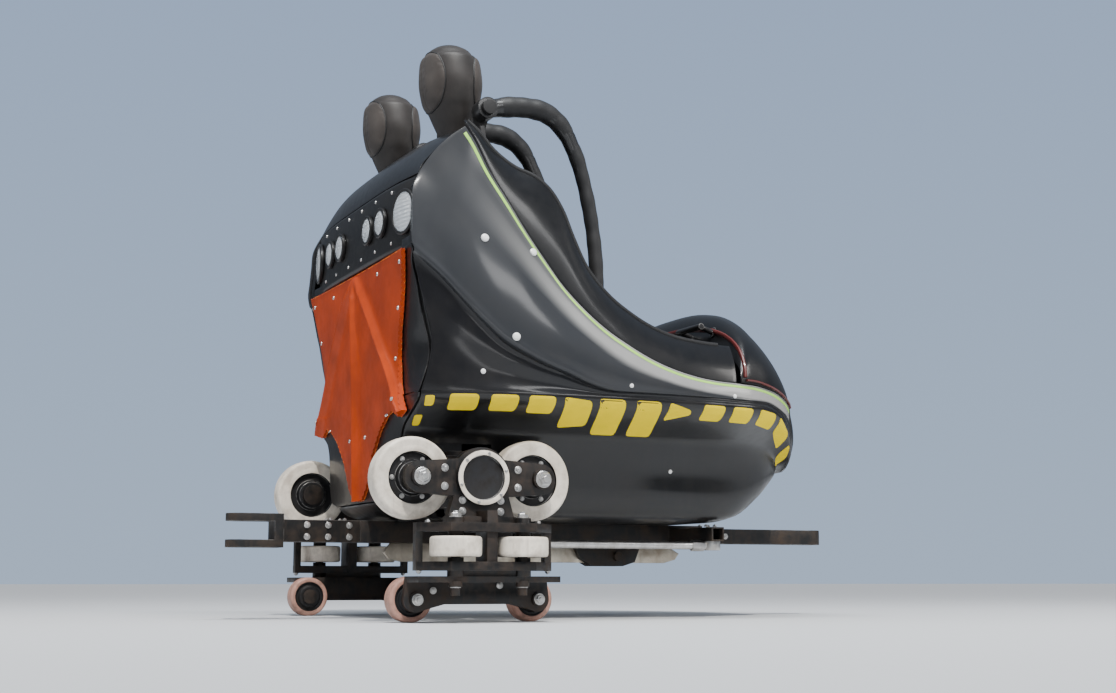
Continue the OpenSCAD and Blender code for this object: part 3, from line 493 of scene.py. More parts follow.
# %% [markdown]
# The steelwork is painted black and covered in oil and brown dust. Where it is bare it is bright. On painted
# parts Metallic follows the wear mask, so that the paint isn't metallic but a scratched edge is.

# %% Steel finishes
frame_black = surface("frame_black_paint", (0.008, 0.008, 0.0085), rough=0.42, gloss=0.35, grime=0.7,
    grime_scale=18.0, grime_colour=(0.060, 0.038, 0.024), clean_height=1.2, worn=0.3,
    worn_colour=(0.33, 0.31, 0.29), worn_metal=0.9, grain=180.0, bump=0.06)
bogie_black = surface("oily_bogie_paint", (0.005, 0.005, 0.005), rough=0.32, gloss=0.4, grime=0.75,
    grime_colour=(0.045, 0.027, 0.017), grime_scale=24.0, clean_height=1.6, worn=0.22,
    worn_colour=(0.40, 0.38, 0.35), worn_metal=0.9, grain=150.0, bump=0.08)
bright_steel = surface("bright_steel", (0.74, 0.73, 0.71), rough=0.28, metal=1.0, mottle=0.2, grime=0.5,
    grime_colour=(0.14, 0.11, 0.08), grime_scale=30.0, clean_height=1.6, worn=0.1, grain=400.0, bump=0.02)
fin_steel = surface("brake_fin_steel", (0.66, 0.60, 0.50), rough=0.34, metal=0.9, mottle=0.3,
    mottle_scale=30.0, grime=0.6, grime_colour=(0.20, 0.13, 0.07), clean_height=1.2, worn=0.2, grain=500.0,
    bump=0.03)

# %% [markdown]
# Treads are cast urethane, cream on most wheels and pinkish brown on the lower ones, and they pick up brown
# oil. A plain light colour would look like paint, so the dirt is in small patches and reaches all the way up.

# %% Wheel finishes
cream_tread = surface("cream_urethane", (0.90, 0.82, 0.70), rough=0.4, gloss=0.4, mottle=0.16,
    mottle_scale=25.0, grime=0.55, grime_colour=(0.24, 0.18, 0.13), grime_scale=24.0, clean_height=1.6,
    worn=0.15, worn_colour=(0.95, 0.9, 0.8), grain=220.0, bump=0.03)
brown_tread = surface("pinkish_brown_urethane", (0.55, 0.30, 0.23), rough=0.4, gloss=0.4, mottle=0.2,
    grime=0.7, grime_colour=(0.10, 0.06, 0.045), grime_scale=26.0, clean_height=1.6, worn=0.15,
    worn_colour=(0.70, 0.48, 0.40), grain=220.0, bump=0.03)
hub_metal = surface("dark_wheel_hub", (0.028, 0.028, 0.030), rough=0.4, metal=0.6, grime=0.8,
    grime_colour=(0.018, 0.014, 0.011), grime_scale=28.0, clean_height=1.6, worn=0.5,
    worn_colour=(0.5, 0.49, 0.47), worn_metal=0.9, grain=160.0, bump=0.06)

# %% [markdown]
# Pads are vinyl over foam. Small rounded cells from a smooth Voronoi pattern read as leather grain up close,
# and a little sheen lifts the edges that turn away.

# %% Vinyl and foam finishes
vinyl_black = surface("black_vinyl", (0.010, 0.010, 0.0105), rough=0.42, gloss=0.35, mottle=0.3, grime=0.3,
    grime_colour=(0.045, 0.04, 0.035), clean_height=1.6, worn=0.35, worn_colour=(0.05, 0.048, 0.046),
    grain=700.0, pebbles=0.9, bump=0.22, sheen=0.05)
# a lighter brown for the headrests' pads: it paints the light on the headrests' faces, against the darker brown
# egg
vinyl_painted_light_brown = surface("brown_grey_vinyl_painted_light", (0.050, 0.041, 0.036), rough=0.5, gloss=0.35, mottle=0.35,
    grime=0.35, grime_colour=(0.022, 0.018, 0.016), clean_height=1.7, worn=0.3,
    worn_colour=(0.12, 0.10, 0.09), grain=700.0, pebbles=0.9, bump=0.22, sheen=0.05)
vinyl_dark_brown = surface("dark_brown_vinyl", (0.026, 0.022, 0.020), rough=0.48, gloss=0.35, mottle=0.4,
    mottle_scale=20.0, grime=0.35, grime_colour=(0.055, 0.046, 0.040), clean_height=1.7, worn=0.3,
    worn_colour=(0.10, 0.09, 0.08), grain=700.0, pebbles=0.9, bump=0.22, sheen=0.05)
foam_sleeve = surface("foam_sleeve", (0.010, 0.010, 0.011), rough=0.5, gloss=0.4, mottle=0.35,
    mottle_scale=40.0, grime=0.25, grime_colour=(0.035, 0.031, 0.028), clean_height=1.7, worn=0.25,
    worn_colour=(0.06, 0.058, 0.056), grain=900.0, pebbles=0.6, bump=0.15, sheen=0.05)
bar_paint = surface("lap_bar_paint", (0.012, 0.012, 0.013), rough=0.34, coat=0.3, gloss=0.4, grime=0.2,
    worn=0.6, worn_colour=(0.4, 0.39, 0.38), worn_metal=0.8, grain=200.0, bump=0.04)
seat_plastic = surface("seat_moulding", (0.014, 0.014, 0.015), rough=0.5, gloss=0.35, grime=0.4, worn=0.35,
    worn_colour=(0.07, 0.07, 0.07), grain=420.0, pebbles=0.5, bump=0.1)

# %% [markdown]
# Two small bright finishes are left, and both are painted light. The lamps' bowls are white, which paints the
# bright reflection that a mirror bowl shows behind its lens; a real mirror would only show the dark backdrop.
# The caps on the flanks' bolts are white, which paints the sun's glints on them.

# %% Reflectors and bolt caps, white for a painted reflection and painted glints
# white paint that stands for the reflection in a mirror bowl: a painted reflection
bowl_painted_reflection = surface("lamp_reflector", (0.90, 0.97, 1.0), rough=0.35, metal=0.0, mottle=0.05, grime=0.06,
    worn=0.0, bump=0.01)
# white caps that paint the sun's glints on the flanks' bolts: a painted highlight
glint_white_cap = surface("white_bolt_cap_painted_glint", (0.95, 0.95, 0.93), rough=0.3, coat=0.6, mottle=0.05, grime=0.15,
    worn=0.0, bump=0.01)

# %% [markdown]
# ## The body's outline
# Seen from above, the body is widest over the seats and closes to a blunt nose. Hull and flanks meet in a belt
# line that drops at the nose. These lines could be drawn as curve objects and traced, but a table of numbers
# can be the same in the CAD source, so the skins can't drift away from the solids.

# %% Lines that hull, flanks and hood share
# (x, half-width), (x, height of the belt), (x, lowest height)
WIDTH = [(-140, 462), (-110, 480), (-60, 503), (0, 522), (100, 542), (250, 550), (450, 550), (650, 538),
    (800, 512), (900, 474), (980, 422), (1040, 360), (1090, 285), (1120, 215), (1140, 145), (1150, 80)]
BELT = [(-140, 330), (900, 330), (960, 318), (1010, 292), (1060, 246), (1100, 205), (1130, 178), (1150, 165)]
KEEL = [(-140, 60), (-90, 25), (-30, 12), (840, 12), (900, 26), (970, 66), (1040, 116), (1090, 150),
    (1120, 166), (1150, 164)]
# the skins' thickness, the gap between two shells, and the thickness of the orange panel
SKIN, SEAM, PANEL = 6.0, 0.4, 8.0


def width(x):
    """Half the body's width at x."""
    return float(lookup(x, WIDTH))


print("the body is", 2 * max(w for _, w in WIDTH), "mm wide and ends", WIDTH[-1][0], "mm ahead of the axle")

# %% [markdown]
# A flank rises from the belt to a swept upper edge that climbs to a peak beside the headrest. Each row of the
# table pairs a point of that edge with a point of the belt, and a crease steps inwards below the field. The
# field swells outwards like a sail.

# %% The flank's rule
# upper edge (x, z), the belt's x for each, and the crease (share of the height, depth)
FLANK_TOP = [(-30, 1040), (-5, 1000), (35, 920), (85, 840), (135, 762), (195, 680), (240, 622), (290, 570),
    (355, 516), (430, 470), (500, 436), (565, 414), (630, 399), (700, 391), (770, 389), (840, 388),
    (930, 378), (1000, 362), (1050, 344)]
FLANK_FOOT = [-138.5, -98, -60, -20, 30, 90, 150, 210, 280, 355, 430, 500, 570, 645, 720, 800, 900, 985, 1050]
CREASE = [(0.50, 15), (0.44, 16), (0.385, 16), (0.335, 16), (0.29, 16), (0.265, 16), (0.24, 15), (0.22, 14),
    (0.16, 11), (0.10, 8), (0.12, 6), (0.155, 5), (0.19, 4), (0.21, 4), (0.22, 4), (0.22, 4), (0.25, 3),
    (0.2, 2), (0.15, 1)]
REAR_EDGE = [(0, 0), (0.14, 17), (0.3, -30), (0.55, -98), (0.75, -112), (0.86, -88), (0.95, -40), (1, 0)]
SWELL_OUT = 34


def flank_point(i, v, inset):
    """The point of row i at share v of its height, with the foot raised by inset."""
    (tx, tz), foot, (crease, drop) = FLANK_TOP[i], FLANK_FOOT[i], CREASE[i]
    zf = float(lookup(foot, BELT)) + inset
    fade, swell, tall = max(0, 1 - i / 6), max(0, min(1, (950 - foot) / 400)), min(1, (tz - zf) / 300)
    stepped = drop * min(1, v / crease / 0.4) if v <= crease else 0
    x = foot + (tx - foot) * v + fade * fade * float(lookup(v, REAR_EDGE))
    return [x, width(x) + tall * swell * (SWELL_OUT * math.sin(math.pi * v) - SWELL_OUT * v * v) - stepped,
        zf + (tz - zf) * v]


def flank_rows(crease):
    """Shares of the height at which a flank is drawn: four up to the crease and nine above it."""
    above = (0.02, 0.1, 0.22, 0.36, 0.5, 0.64, 0.78, 0.9, 1)
    return [k * crease for k in (0, 0.4, 0.75, 1)] + [crease + (1 - crease) * k for k in above]


# %% [markdown]
# Behind, hull and flanks end in one curved edge, which the rear shells have to meet. So the rule for that edge
# comes before any shell is made: `rear_edge` gives the corner at a height, and `rear_point` a point between the
# two corners.

# %% The rear edge
# half the hull's section: shares of the width and of the height
HULL_SECTION = [(1, 1), (1, 0.965), (0.985, 0.93), (0.93, 0.87), (0.80, 0.76), (0.725, 0.68), (0.70, 0.55),
    (0.68, 0.35), (0.66, 0.15), (0.62, 0.05), (0.52, 0.01), (0.3, 0), (0, 0)]
# how far back the rear wall bulges in the middle, and the columns at which the rear shells are drawn
REAR_MID = [(60, -148), (300, -154), (500, -161), (700, -168), (905, -168)]
REAR_SHARES = [-1, -0.96, -0.88, -0.75, -0.5, -0.25, 0, 0.25, 0.5, 0.75, 0.88, 0.96, 1]
BELT_Z, FLANK_TALL = 330, 710


def rear_edge(z):
    """x and y of the body's rear corner at a height."""
    if z < BELT_Z:
        share, reach = [row[1] for row in HULL_SECTION[::-1]], [row[0] for row in HULL_SECTION[::-1]]
        return -145.1, 462 * float(np.interp((z - 60) / 270, share, reach))
    v = (z - BELT_Z) / FLANK_TALL
    x, y, _ = flank_point(0, v, 0)
    return x, y + rear_drop(z)


def rear_drop(z):
    """How far the crease steps in at the rear corner."""
    v, (crease, drop) = (z - BELT_Z) / FLANK_TALL, CREASE[0]
    return drop * min(1, v / crease / 0.4) if 0 < v <= crease else 0


def rear_point(y, z, off):
    """A point of the rear wall, moved back by off."""
    (ex, ey), middle = rear_edge(z), float(lookup(z, REAR_MID))
    return [middle + (ex - middle) * min(1.1, abs(y) / max(ey, 60)) ** 3.5 - off, y, z]


# %% [markdown]
# ## Hull
# The hull is the black tub under the belt. Its section is the same at every station and only grows wider or
# taller, so one half section is scaled along the car, mirrored and refined both ways. Box modelling with a
# subdivision surface would be quicker to start, but its width could not be read off the table. A soft recess
# along each lower side is pressed in along the normals.

# %% Hull
stations = FLANK_FOOT + [1075, 1096, 1112, 1124, 1134]
control = []
for x in stations:
    w, top, keel = width(x), float(lookup(x, BELT)) - SEAM, float(lookup(x, KEEL))
    half = [[x, w * a, keel + (top - keel) * b] for a, b in HULL_SECTION]
    control.append([[p[0], -p[1], p[2]] for p in half] + half[-2::-1])
hull_grid = refine(refine(control, 4), 3, axis=1)
n = facing(hull_grid)
n[n[..., 1] * hull_grid[..., 1] + n[..., 2] * (hull_grid[..., 2] - 250) < 0] *= -1
# a long soft recess along each lower side
recess = np.exp(-(((hull_grid[..., 0] - 700) / 150) ** 4)) * np.exp(-(((hull_grid[..., 2] - 150) / 38) ** 4))
hull_grid = hull_grid - n * (7 * recess)[..., None]
hull = shell("hull_shell", hull_grid, SKIN, black_shell, inside=(400, 0, 250), body="chassis",
    slot="black_shell")

# %% [markdown]
# The load wheels, the kingpins and, in the middle, the axle's bracket reach up into the floor. A boolean with
# plain boxes does what the CAD source does, and the exact solver keeps a closed shell closed. Deleting faces
# would leave open edges that show the shell's inside.

# %% Wheel clearance through the hull's floor
BOX_FACES = ((0, 1, 3, 2), (4, 6, 7, 5), (0, 4, 5, 1), (2, 3, 7, 6), (0, 2, 6, 4), (1, 5, 7, 3))


def cut_boxes(piece, boxes):
    """Cuts boxes out of a piece, as the part does."""
    verts, faces = [], []
    for (x0, y0, z0), (x1, y1, z1) in boxes:
        k = len(verts)
        verts += [(x, y, z) for x in (x0, x1) for y in (y0, y1) for z in (z0, z1)]
        faces += [tuple(k + i for i in f) for f in BOX_FACES]
    mesh = bpy.data.meshes.new("cutter")
    mesh.from_pydata([tuple(v) for v in place(verts)], [], faces)
    cutter = bpy.data.objects.new("cutter", mesh)
    bpy.context.scene.collection.objects.link(cutter)
    cut = piece.modifiers.new("cut", "BOOLEAN")
    cut.operation, cut.object, cut.solver = "DIFFERENCE", cutter, "EXACT"
    solid = bpy.data.meshes.new_from_object(piece.evaluated_get(bpy.context.evaluated_depsgraph_get()))
    piece.modifiers.remove(cut)
    piece.data = solid
    bpy.data.objects.remove(cutter)


wheel_boxes = [((-90, s * 240 if s > 0 else -420, 4), (90, 420 if s > 0 else -240, 205)) for s in (-1, 1)]
bracket_box = ((-51, -41, 0), (51, 41, 45))
cut_boxes(hull, wheel_boxes + [bracket_box])
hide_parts("hull")
print("the hull has", len(hull.data.polygons), "faces after the cut")

# %% [markdown]
# ## Flanks and cockpit sides
# The slate field, the silver streak and the black below the crease are one moulded piece. The slate field is
# paint; the silver streak is a painted reflection of the sky, and a faint slate wash below the crease is painted
# soft light that fades into painted shade at the rear. Cutting the mesh along the colours would leave hard steps
# in the shading. Instead each colour's strength is worked out from the grid's own row and column, so the edges
# of the colours sweep along with the flank.

# %% Flanks, their slate paint and their painted light
flank_control = np.array([[flank_point(i, v, SEAM) for v in flank_rows(CREASE[i][0])]
                          for i in range(len(FLANK_TOP))])
flank_grid = refine(refine(flank_control, 6), 4, axis=1)
across, along = np.meshgrid(np.linspace(0, 12, flank_grid.shape[1]), np.linspace(0, 18, flank_grid.shape[0]))
above = np.interp(across, np.arange(3, 13), [0, 0.02, 0.1, 0.22, 0.36, 0.5, 0.64, 0.78, 0.9, 1])
# below the crease a faint slate, strongest towards the front and the belt and gone at the rear, paints soft
# light and shade on the lower flank; above the crease the slate is paint
under = 0.42 * np.clip((along - 1.5) / 7, 0, 1) * (0.35 + 0.65 * np.clip(1 - across / 3, 0, 1))
slate_and_painted_glow = np.where(across > 3.05, np.clip((across - 3.05) / 0.6, 0, 1), under)
# the streak of painted sky reflection runs under the line, and fills the band towards the nose, where that
# highlight is widest
sky_streak_from = np.interp(along, [0, 4, 8, 11, 13, 15, 18], [0.66, 0.66, 0.60, 0.44, 0.22, 0.04, 0.0])
ends = (above > np.interp(along, [16, 17.8], [-0.1, 0.45])) * np.clip((17.9 - along) / 0.2, 0, 1)
slate_and_painted_glow = slate_and_painted_glow * ends
under_line = 1 - 0.6 * np.exp(-(((above - 0.92) / 0.04) ** 2))
# the painted reflection fades out at the rear top: painted shade where the flank turns away from the light
fade_up = np.interp(along, [0, 2, 4, 7, 18], [0, 0.06, 0.35, 0.8, 1])
painted_sky_streak = ends * np.clip((above - sky_streak_from) / 0.14, 0, 1) * under_line * (across > 3.4) * fade_up
for side, s in SIDES:
    shell(f"flank_{side}_shell", flank_grid * [1, s, 1], SKIN, grey_shell,
        attributes={"slate_and_painted_glow": slate_and_painted_glow, "painted_sky_streak": painted_sky_streak}, level_foot=True, body="chassis",
        stands_for=(f"flank_{side}",), slot="grey_shell")
print("the slate zone takes", int((slate_and_painted_glow > 0.5).sum()), "of the", slate_and_painted_glow.size, "points of a flank")

# %% [markdown]
# Inside the green line a black panel rises to the cockpit's rim. It is stretched between two edges, the
# flank's and the rim's, with a slight bulge between them.

# %% Cockpit sides
# the rim, as (x, z, half-width)
RIM = [(-22, 1066, 458), (10, 1040, 462), (60, 985, 466), (120, 945, 470), (175, 925, 474), (215, 895, 477),
    (250, 845, 480), (285, 765, 482), (325, 685, 484), (395, 608, 486), (450, 570, 487), (505, 540, 488),
    (580, 514, 488), (668, 502, 484), (776, 500, 468)]
lower = np.array([flank_point(i, 1, SEAM) for i in range(len(RIM))]) + [0, 0, SEAM]
upper = np.array([[x, y, z] for x, z, y in RIM])
side_control = np.stack([lower + (upper - lower) * v + [0, 10 * math.sin(math.pi * v), 0]
                         for v in (0, 0.2, 0.45, 0.72, 1)], 1)
side_grid = refine(refine(side_control, 6), 4, axis=1)
for side, s in SIDES:
    shell(f"cockpit_side_{side}_shell", side_grid * [1, s, 1], SKIN, black_shell, body="chassis",
        stands_for=(f"cockpit_side_{side}",), slot="black_shell")

# %% [markdown]
# The hood arches from flank to flank over the footwell and ends in the nose. Each station is an arch with its
# own foot and crown, and exponents a little under one make the arch fuller than an ellipse.

# %% Hood
# (x of the foot, z of the foot, x of the crown, z of the crown)
HOOD = [(786, 392, 800, 520), (822, 391, 838, 640), (850, 390, 862, 648), (895, 384, 900, 622),
    (945, 377, 950, 578), (1000, 363, 1000, 518), (1050, 345, 1045, 455), (1052, 300, 1085, 405),
    (1062, 251, 1120, 362), (1090, 223, 1142, 300), (1112, 203, 1148, 240), (1128, 188, 1140, 190)]
angles = [0, 4, 12, 24, 38, 54, 72, 90, 108, 126, 142, 156, 168, 176, 180]
hood_control = []
for ex, ez, cx, cz in HOOD:
    row = []
    for a in angles:
        c, s = math.cos(math.radians(a)), math.sin(math.radians(a))
        y = math.copysign(1, c) * width(ex) * abs(c) ** 0.8 if abs(c) > 1e-9 else 0
        row.append([ex + (cx - ex) * s, y, ez + SEAM + (cz - ez) * s ** 0.9])
    hood_control.append(row)
hood_grid = refine(refine(hood_control, 6), 5, axis=1)
shell("hood_shell", hood_grid, SKIN, black_shell, inside=(850, 0, 400), body="chassis", stands_for=("hood",),
    slot="black_shell")

# %% [markdown]
# ## The rear
# Behind the seats are a skirt, a wall, the lamp strip, a cowl that rolls forward over the top, and the orange
# panel on the wall. A plain cylinder would be simpler, but it wouldn't meet the wavy rear edge of the flanks.
# `rear_point` is a bulging surface that does. Skirt, wall and panel share it, so each is a list of heights and
# an offset.

# %% Skirt and wall
def rear_shell(name, heights, trim, node):
    """A shell of the rear surface between two heights, its sides kept clear of the flanks by trim."""
    control = [[rear_point(c * (rear_edge(z)[1] - rear_drop(z) - trim), z, 0) for c in REAR_SHARES]
               for z in heights]
    shell(name, refine(refine(control, 4), 4, axis=1), SKIN, black_shell, inside=(400, 0, 400), body="chassis",
          stands_for=(node,), slot="black_shell")


rear_shell("rear_skirt_shell", [62, 66, 75, 100, 140, 190, 225, 250, 275, 297, 310, 326], 1, "rear_skirt")
rear_shell("rear_wall_shell", [331, 345, 370, 400, 450, 500, 560, 620, 683, 693, 713.5], SKIN + 9, "rear_wall")

# %% [markdown]
# Real shells overlap on flanges, so no light comes through their seams. Without them a bright slit shows
# between the seats.

# %% Flanges behind the seams
FLANGE_OFF, FLANGE_TRIM, FLANGE_THICK = -SKIN - 0.2, SKIN + 14, 2.0
FLANGE_HEIGHTS = {
    "lower": [300, 315, 328, 345, 362],
    "middle": [686, 700, 714, 727, 740],
    "upper": [876, 890, 905, 912, 918],
}
for name, heights in FLANGE_HEIGHTS.items():
    flange = [[rear_point(c * (rear_edge(z)[1] - rear_drop(z) - FLANGE_TRIM), z, FLANGE_OFF)
               for c in REAR_SHARES] for z in heights]
    shell(f"rear_flange_{name}", refine(refine(flange, 2), 4, axis=1), FLANGE_THICK, black_shell,
        inside=(400, 0, 400), body="chassis", slot="black_shell", rim_width=0.4)

# %% [markdown]
# The cowl and the lamp strip have a front of their own: the cowl rolls over towards the headrests, and the
# strip is nearly flat, because six lamps have to sit on it.

# %% Cowl
# (z of the corner, x of the crown, z of the crown)
COWL = [(906.5, -169, 906.5), (935, -163, 936), (962, -150, 968), (988, -127, 1000), (1008, -98, 1025),
    (1023, -64, 1045), (1033, -26, 1057), (1036, 18, 1061)]
cowl_control = []
for z, cx, cz in COWL:
    ex, ey = rear_edge(z)
    cowl_control.append([[cx + (ex - cx) * abs(c) ** 3.5, c * (ey - SKIN - 4), cz + (z - cz) * abs(c) ** 3.5]
                         for c in REAR_SHARES])
shell("rear_cowl_shell", refine(refine(cowl_control, 4), 4, axis=1), SKIN, black_shell, body="chassis",
    stands_for=("rear_cowl",), slot="black_shell")


# %% Lamp strip
def lamp_x(y):
    """The strip's outer face at a distance from the middle."""
    return -178 + 30 * (abs(y) / 460) ** 4


strip_control = []
for z in (714, 717, 722, 728, 812, 892, 898, 902, 904):
    lean = 9 * (1 - min(1, min(z - 714, 904 - z) / 12)) ** 2
    strip_half = rear_edge(z)[1] - SKIN - 4
    strip_control.append([[lamp_x(c * strip_half) + lean, c * strip_half, z] for c in REAR_SHARES])
strip_grid = refine(strip_control, 4, axis=1)
shell("lamp_strip", strip_grid, 10, lamp_strip_black, body="chassis", stands_for=("lamp_bar",),
    slot="black_shell")

# %% [markdown]
# The orange panel is cut like a bat's wing, with three points at its foot, one rib down the middle and one to
# each side. A Displace modifier with a texture could raise the ribs, but they have to run just to the points.
# Here the height of a rib is a smooth function of the distance to its line, added to the offset from the wall.

# %% The ribs' rule
# (z, half-width), and (share of the half-width, z of the foot)
PANEL_WIDTH = [(285, 388), (360, 348), (430, 335), (500, 350), (610, 393), (706, 425)]
PANEL_FOOT = [(0, 66), (0.1, 70), (0.2, 102), (0.33, 185), (0.5, 248), (0.66, 284), (0.78, 294), (0.9, 272),
    (1, 286)]
PANEL_TOP, RIB_HIGH = 706, 19


def ridge(d, w):
    """A rounded ridge of width w at the distance d from its line."""
    return math.exp(-((math.hypot(d, 2.5) / w) ** 1.5))


def rib_relief(y, z):
    """How far the ribs stand out at a point of the panel."""
    a, down = abs(y), max(0, min(1, (700 - z) / 420))
    d = a - 380 * down ** 0.85
    middle = 1 if z < 640 else (PANEL_TOP - z) / 66
    slanting = RIB_HIGH * ridge(d, 17) * min(1, (PANEL_TOP - z) / 60)
    return slanting + RIB_HIGH * ridge(a, 15 + 12 * (1 - down)) * middle


# %% Orange panel
rows, shares = 110, np.linspace(-1, 1, 193)
front_side, back_side = [], []
for v in np.linspace(0, 1, rows):
    for c in shares:
        foot = float(lookup(abs(c), PANEL_FOOT))
        z = foot + (PANEL_TOP - foot) * v
        y = c * float(lookup(z, PANEL_WIDTH))
        front_side.append(rear_point(y, z, PANEL + 0.9 + 3.5 * c * c + rib_relief(y, z)))
        back_side.append(rear_point(y, z, 0.9 + 3.5 * c * c))
faces, start = two_sided(rows, len(shares))
make("rear_panel_shell", front_side + back_side, faces, orange_shell, "chassis",
    ("rear_panel",), "orange_shell", rim=range(start, len(faces)), rim_width=2.0)

# %% [markdown]
# ## Tail lamps
# Six round lamps sit in the strip, two large and four small. Each is a black bezel ring, a white bowl and a
# pressed lens whose flutes scatter the light. A turned profile gives all three, so a lamp is a short list of
# (radius, height) points. The flutes are bump from two wave patterns, as they are finer than a mesh should be.

# %% Lamp glass
lens_glass = bpy.data.materials.new("lamp_lens")
lens_glass.use_nodes = True
t = lens_glass.node_tree
t.nodes.clear()
where = step(t, "ShaderNodeTexCoord").outputs["Object"]
flutes = step(t, "ShaderNodeTexWave", {"Vector": where, "Scale": 48.0, "Distortion": 0.0}, bands_direction="Y")
rows_across = step(t, "ShaderNodeTexWave", {"Vector": where, "Scale": 30.0, "Distortion": 0.0},
    bands_direction="Z")
pressed = maths(t, "ADD", flutes.outputs["Fac"], rows_across.outputs["Fac"])
glass_relief = step(t, "ShaderNodeBump", {"Height": pressed, "Strength": 0.5, "Distance": 0.0012})
haze = step(t, "ShaderNodeGroup", {}, node_tree=grime_group)
haze.inputs["Amount"].default_value, haze.inputs["Clean Height"].default_value = 0.2, 1.6
glass_tint = mixed(t, haze.outputs["Mask"], rgba((0.92, 0.96, 1.0)), rgba((0.45, 0.42, 0.38)))
glass_rough = maths(t, "ADD", 0.08, maths(t, "MULTIPLY", haze.outputs["Mask"], 0.4))
glass = step(t, "ShaderNodeBsdfPrincipled", {"Base Color": glass_tint, "Roughness": glass_rough, "IOR": 1.45,
    "Transmission Weight": 0.55, "Normal": glass_relief.outputs[0]})
t.links.new(glass.outputs[0], step(t, "ShaderNodeOutputMaterial").inputs["Surface"])

# %% [markdown]
# Each lamp faces along the strip's own slope, so the outer ones turn a little to the side.

# %% Lamps
# (distance from the middle, z, radius)
LAMPS = [(392, 812, 62), (236, 812, 42), (128, 812, 42)]
bezels, bowls, lenses = [], [], []
for s in (-1, 1):
    for y, z, r in LAMPS:
        slope = (lamp_x(y + 10) - lamp_x(y - 10)) / 20
        centre, out = [lamp_x(y), s * y, z], [-1, s * slope, 0]
        ring = [[r - 9, 1], [r, 1], [r, 9.5], [r - 3, 12], [r - 8, 11.5], [r - 9, 8]]
        bezels.append(turned(rounded(ring, 1.6), centre, out, 72))
        bowl = [[4, 0.8], [r - 8.5, 0.8], [r - 8.5, 8.5], [r - 12, 7.2], [r * 0.55, 2.6], [r * 0.2, 1.8],
            [4, 1.9]]
        bowls.append(turned(rounded(bowl, 1.0), centre, out, 72))
        bulb = [[0.3, 1.2], [r * 0.17, 1.2], [r * 0.17, 6.5], [r * 0.1, 7.4], [0.3, 7.6]]
        bowls.append(turned(rounded(bulb, 1.2), centre, out, 32))
        dome = [[0.3, 14.2], [r * 0.35, 13.6], [r * 0.65, 12.0], [r - 10, 9.6], [r - 8.6, 9.0],
            [r - 8.6, 8.0], [r * 0.6, 9.6], [0.3, 11.4]]
        lenses.append(turned(rounded(dome, 1.0, 2), centre, out, 72))
make("lamp_bezels", *together(bezels), lamp_strip_black, "chassis", slot="black_shell")
make("lamp_bowls", *together(bowls), bowl_painted_reflection, "chassis", slot="lamp_lens")
make("lamp_lenses", *together(lenses), lens_glass, "chassis", ("tail_lamps",), "lamp_lens")

# %% [markdown]
# ## Painted line, dashes and trim
# The green line follows the flank's upper edge, so it is built from the flank's own grid: four points measured
# back from the edge in every column, lifted by half a millimetre.

# %% Pale green line along each flank's upper edge
def along_row(points, distances):
    """Points at given distances along a line of points."""
    gaps = np.linalg.norm(np.diff(points, axis=0), axis=1)
    reach = np.concatenate([[0], np.cumsum(gaps)])
    return np.stack([[np.interp(d, reach, points[:, k]) for k in range(3)] for d in distances])


flank_out = facing(flank_grid)
flank_out[flank_out[..., 1] < 0] *= -1
for side, s in SIDES:
    stripe = []
    for row, n in zip(flank_grid[2:-1], flank_out[2:-1]):
        stripe.append(along_row(row[::-1], [7, 10, 13, 16]) + n[-1] * 0.5)
    shell(f"green_line_{side}", np.array(stripe) * [1, s, 1], 0.9, green_paint, body="chassis", rim_width=0.15)

# %% [markdown]
# The yellow dashes are painted on the hull's side just under the belt. A flat outline pushed on with a
# Shrinkwrap modifier would work too. Here the outline is filled with rings of points, and from each a ray is
# cast at the shells, which gives a thin closed skin that lies on whatever the rays meet.

# %% Paint laid on by rays
def ray_target(*names):
    """The surfaces of some pieces, ready for rays."""
    verts, faces = [], []
    for name in names:
        mesh = bpy.data.objects[name].data
        k = len(verts)
        verts += [v.co.copy() for v in mesh.vertices]
        faces += [[k + i for i in p.vertices] for p in mesh.polygons]
    return BVHTree.FromPolygons(verts, faces)


def evenly(outline, count):
    """A closed outline as a number of evenly spaced points."""
    closed = np.concatenate([outline, outline[:1]])
    reach = np.concatenate([[0], np.cumsum(np.linalg.norm(np.diff(closed, axis=0), axis=1))])
    at = np.linspace(0, reach[-1], count, endpoint=False)
    return np.stack([np.interp(at, reach, closed[:, 0]), np.interp(at, reach, closed[:, 1])], 1)


def hit(target, x, z, s):
    """Where a ray from side s meets the target, and the normal there."""
    start = Vector(place([x, s * 900, z]))
    spot, n, _, _ = target.ray_cast(start, Vector((0, -s, 0)))
    if spot is None:
        return None
    return np.array(spot) * 1000 + [REAR, 0, FLOOR], np.array(n) * (1 if n.y * s > 0 else -1)


# %% A painted patch
def decal(target, outline, s, rings=5, lift=0.6, count=44):
    """A thin closed skin inside an outline of (x, z) points, laid on the target."""
    edge = evenly(np.asarray(outline, float), count)
    middle = edge.mean(0)
    spots = [middle] + [middle + (p - middle) * k / rings for k in range(1, rings + 1) for p in edge]
    hits = [hit(target, x, z, s) for x, z in spots]
    if any(h is None for h in hits):
        return [], []
    verts = [p + n * lift for p, n in hits] + [p - n * lift for p, n in hits]
    top, at = len(spots), lambda k, i: 1 + (k - 1) * count + i % count
    faces = [(0, at(1, i), at(1, i + 1)) for i in range(count)]
    faces += [(at(k, i), at(k + 1, i), at(k + 1, i + 1), at(k, i + 1)) for k in range(1, rings)
              for i in range(count)]
    faces += [tuple(top + v for v in f[::-1]) for f in faces]
    faces += [(at(rings, i), top + at(rings, i), top + at(rings, i + 1), at(rings, i + 1))
              for i in range(count)]
    return verts, faces


# %% [markdown]
# The same rays help with a hidden piece. On the inside a bent strip closes the seam between each flank and the
# rear wall, the lamp strip and the cowl. Two rays at each height find the flank's inside, and the strip's
# other half lies against the rear surface.

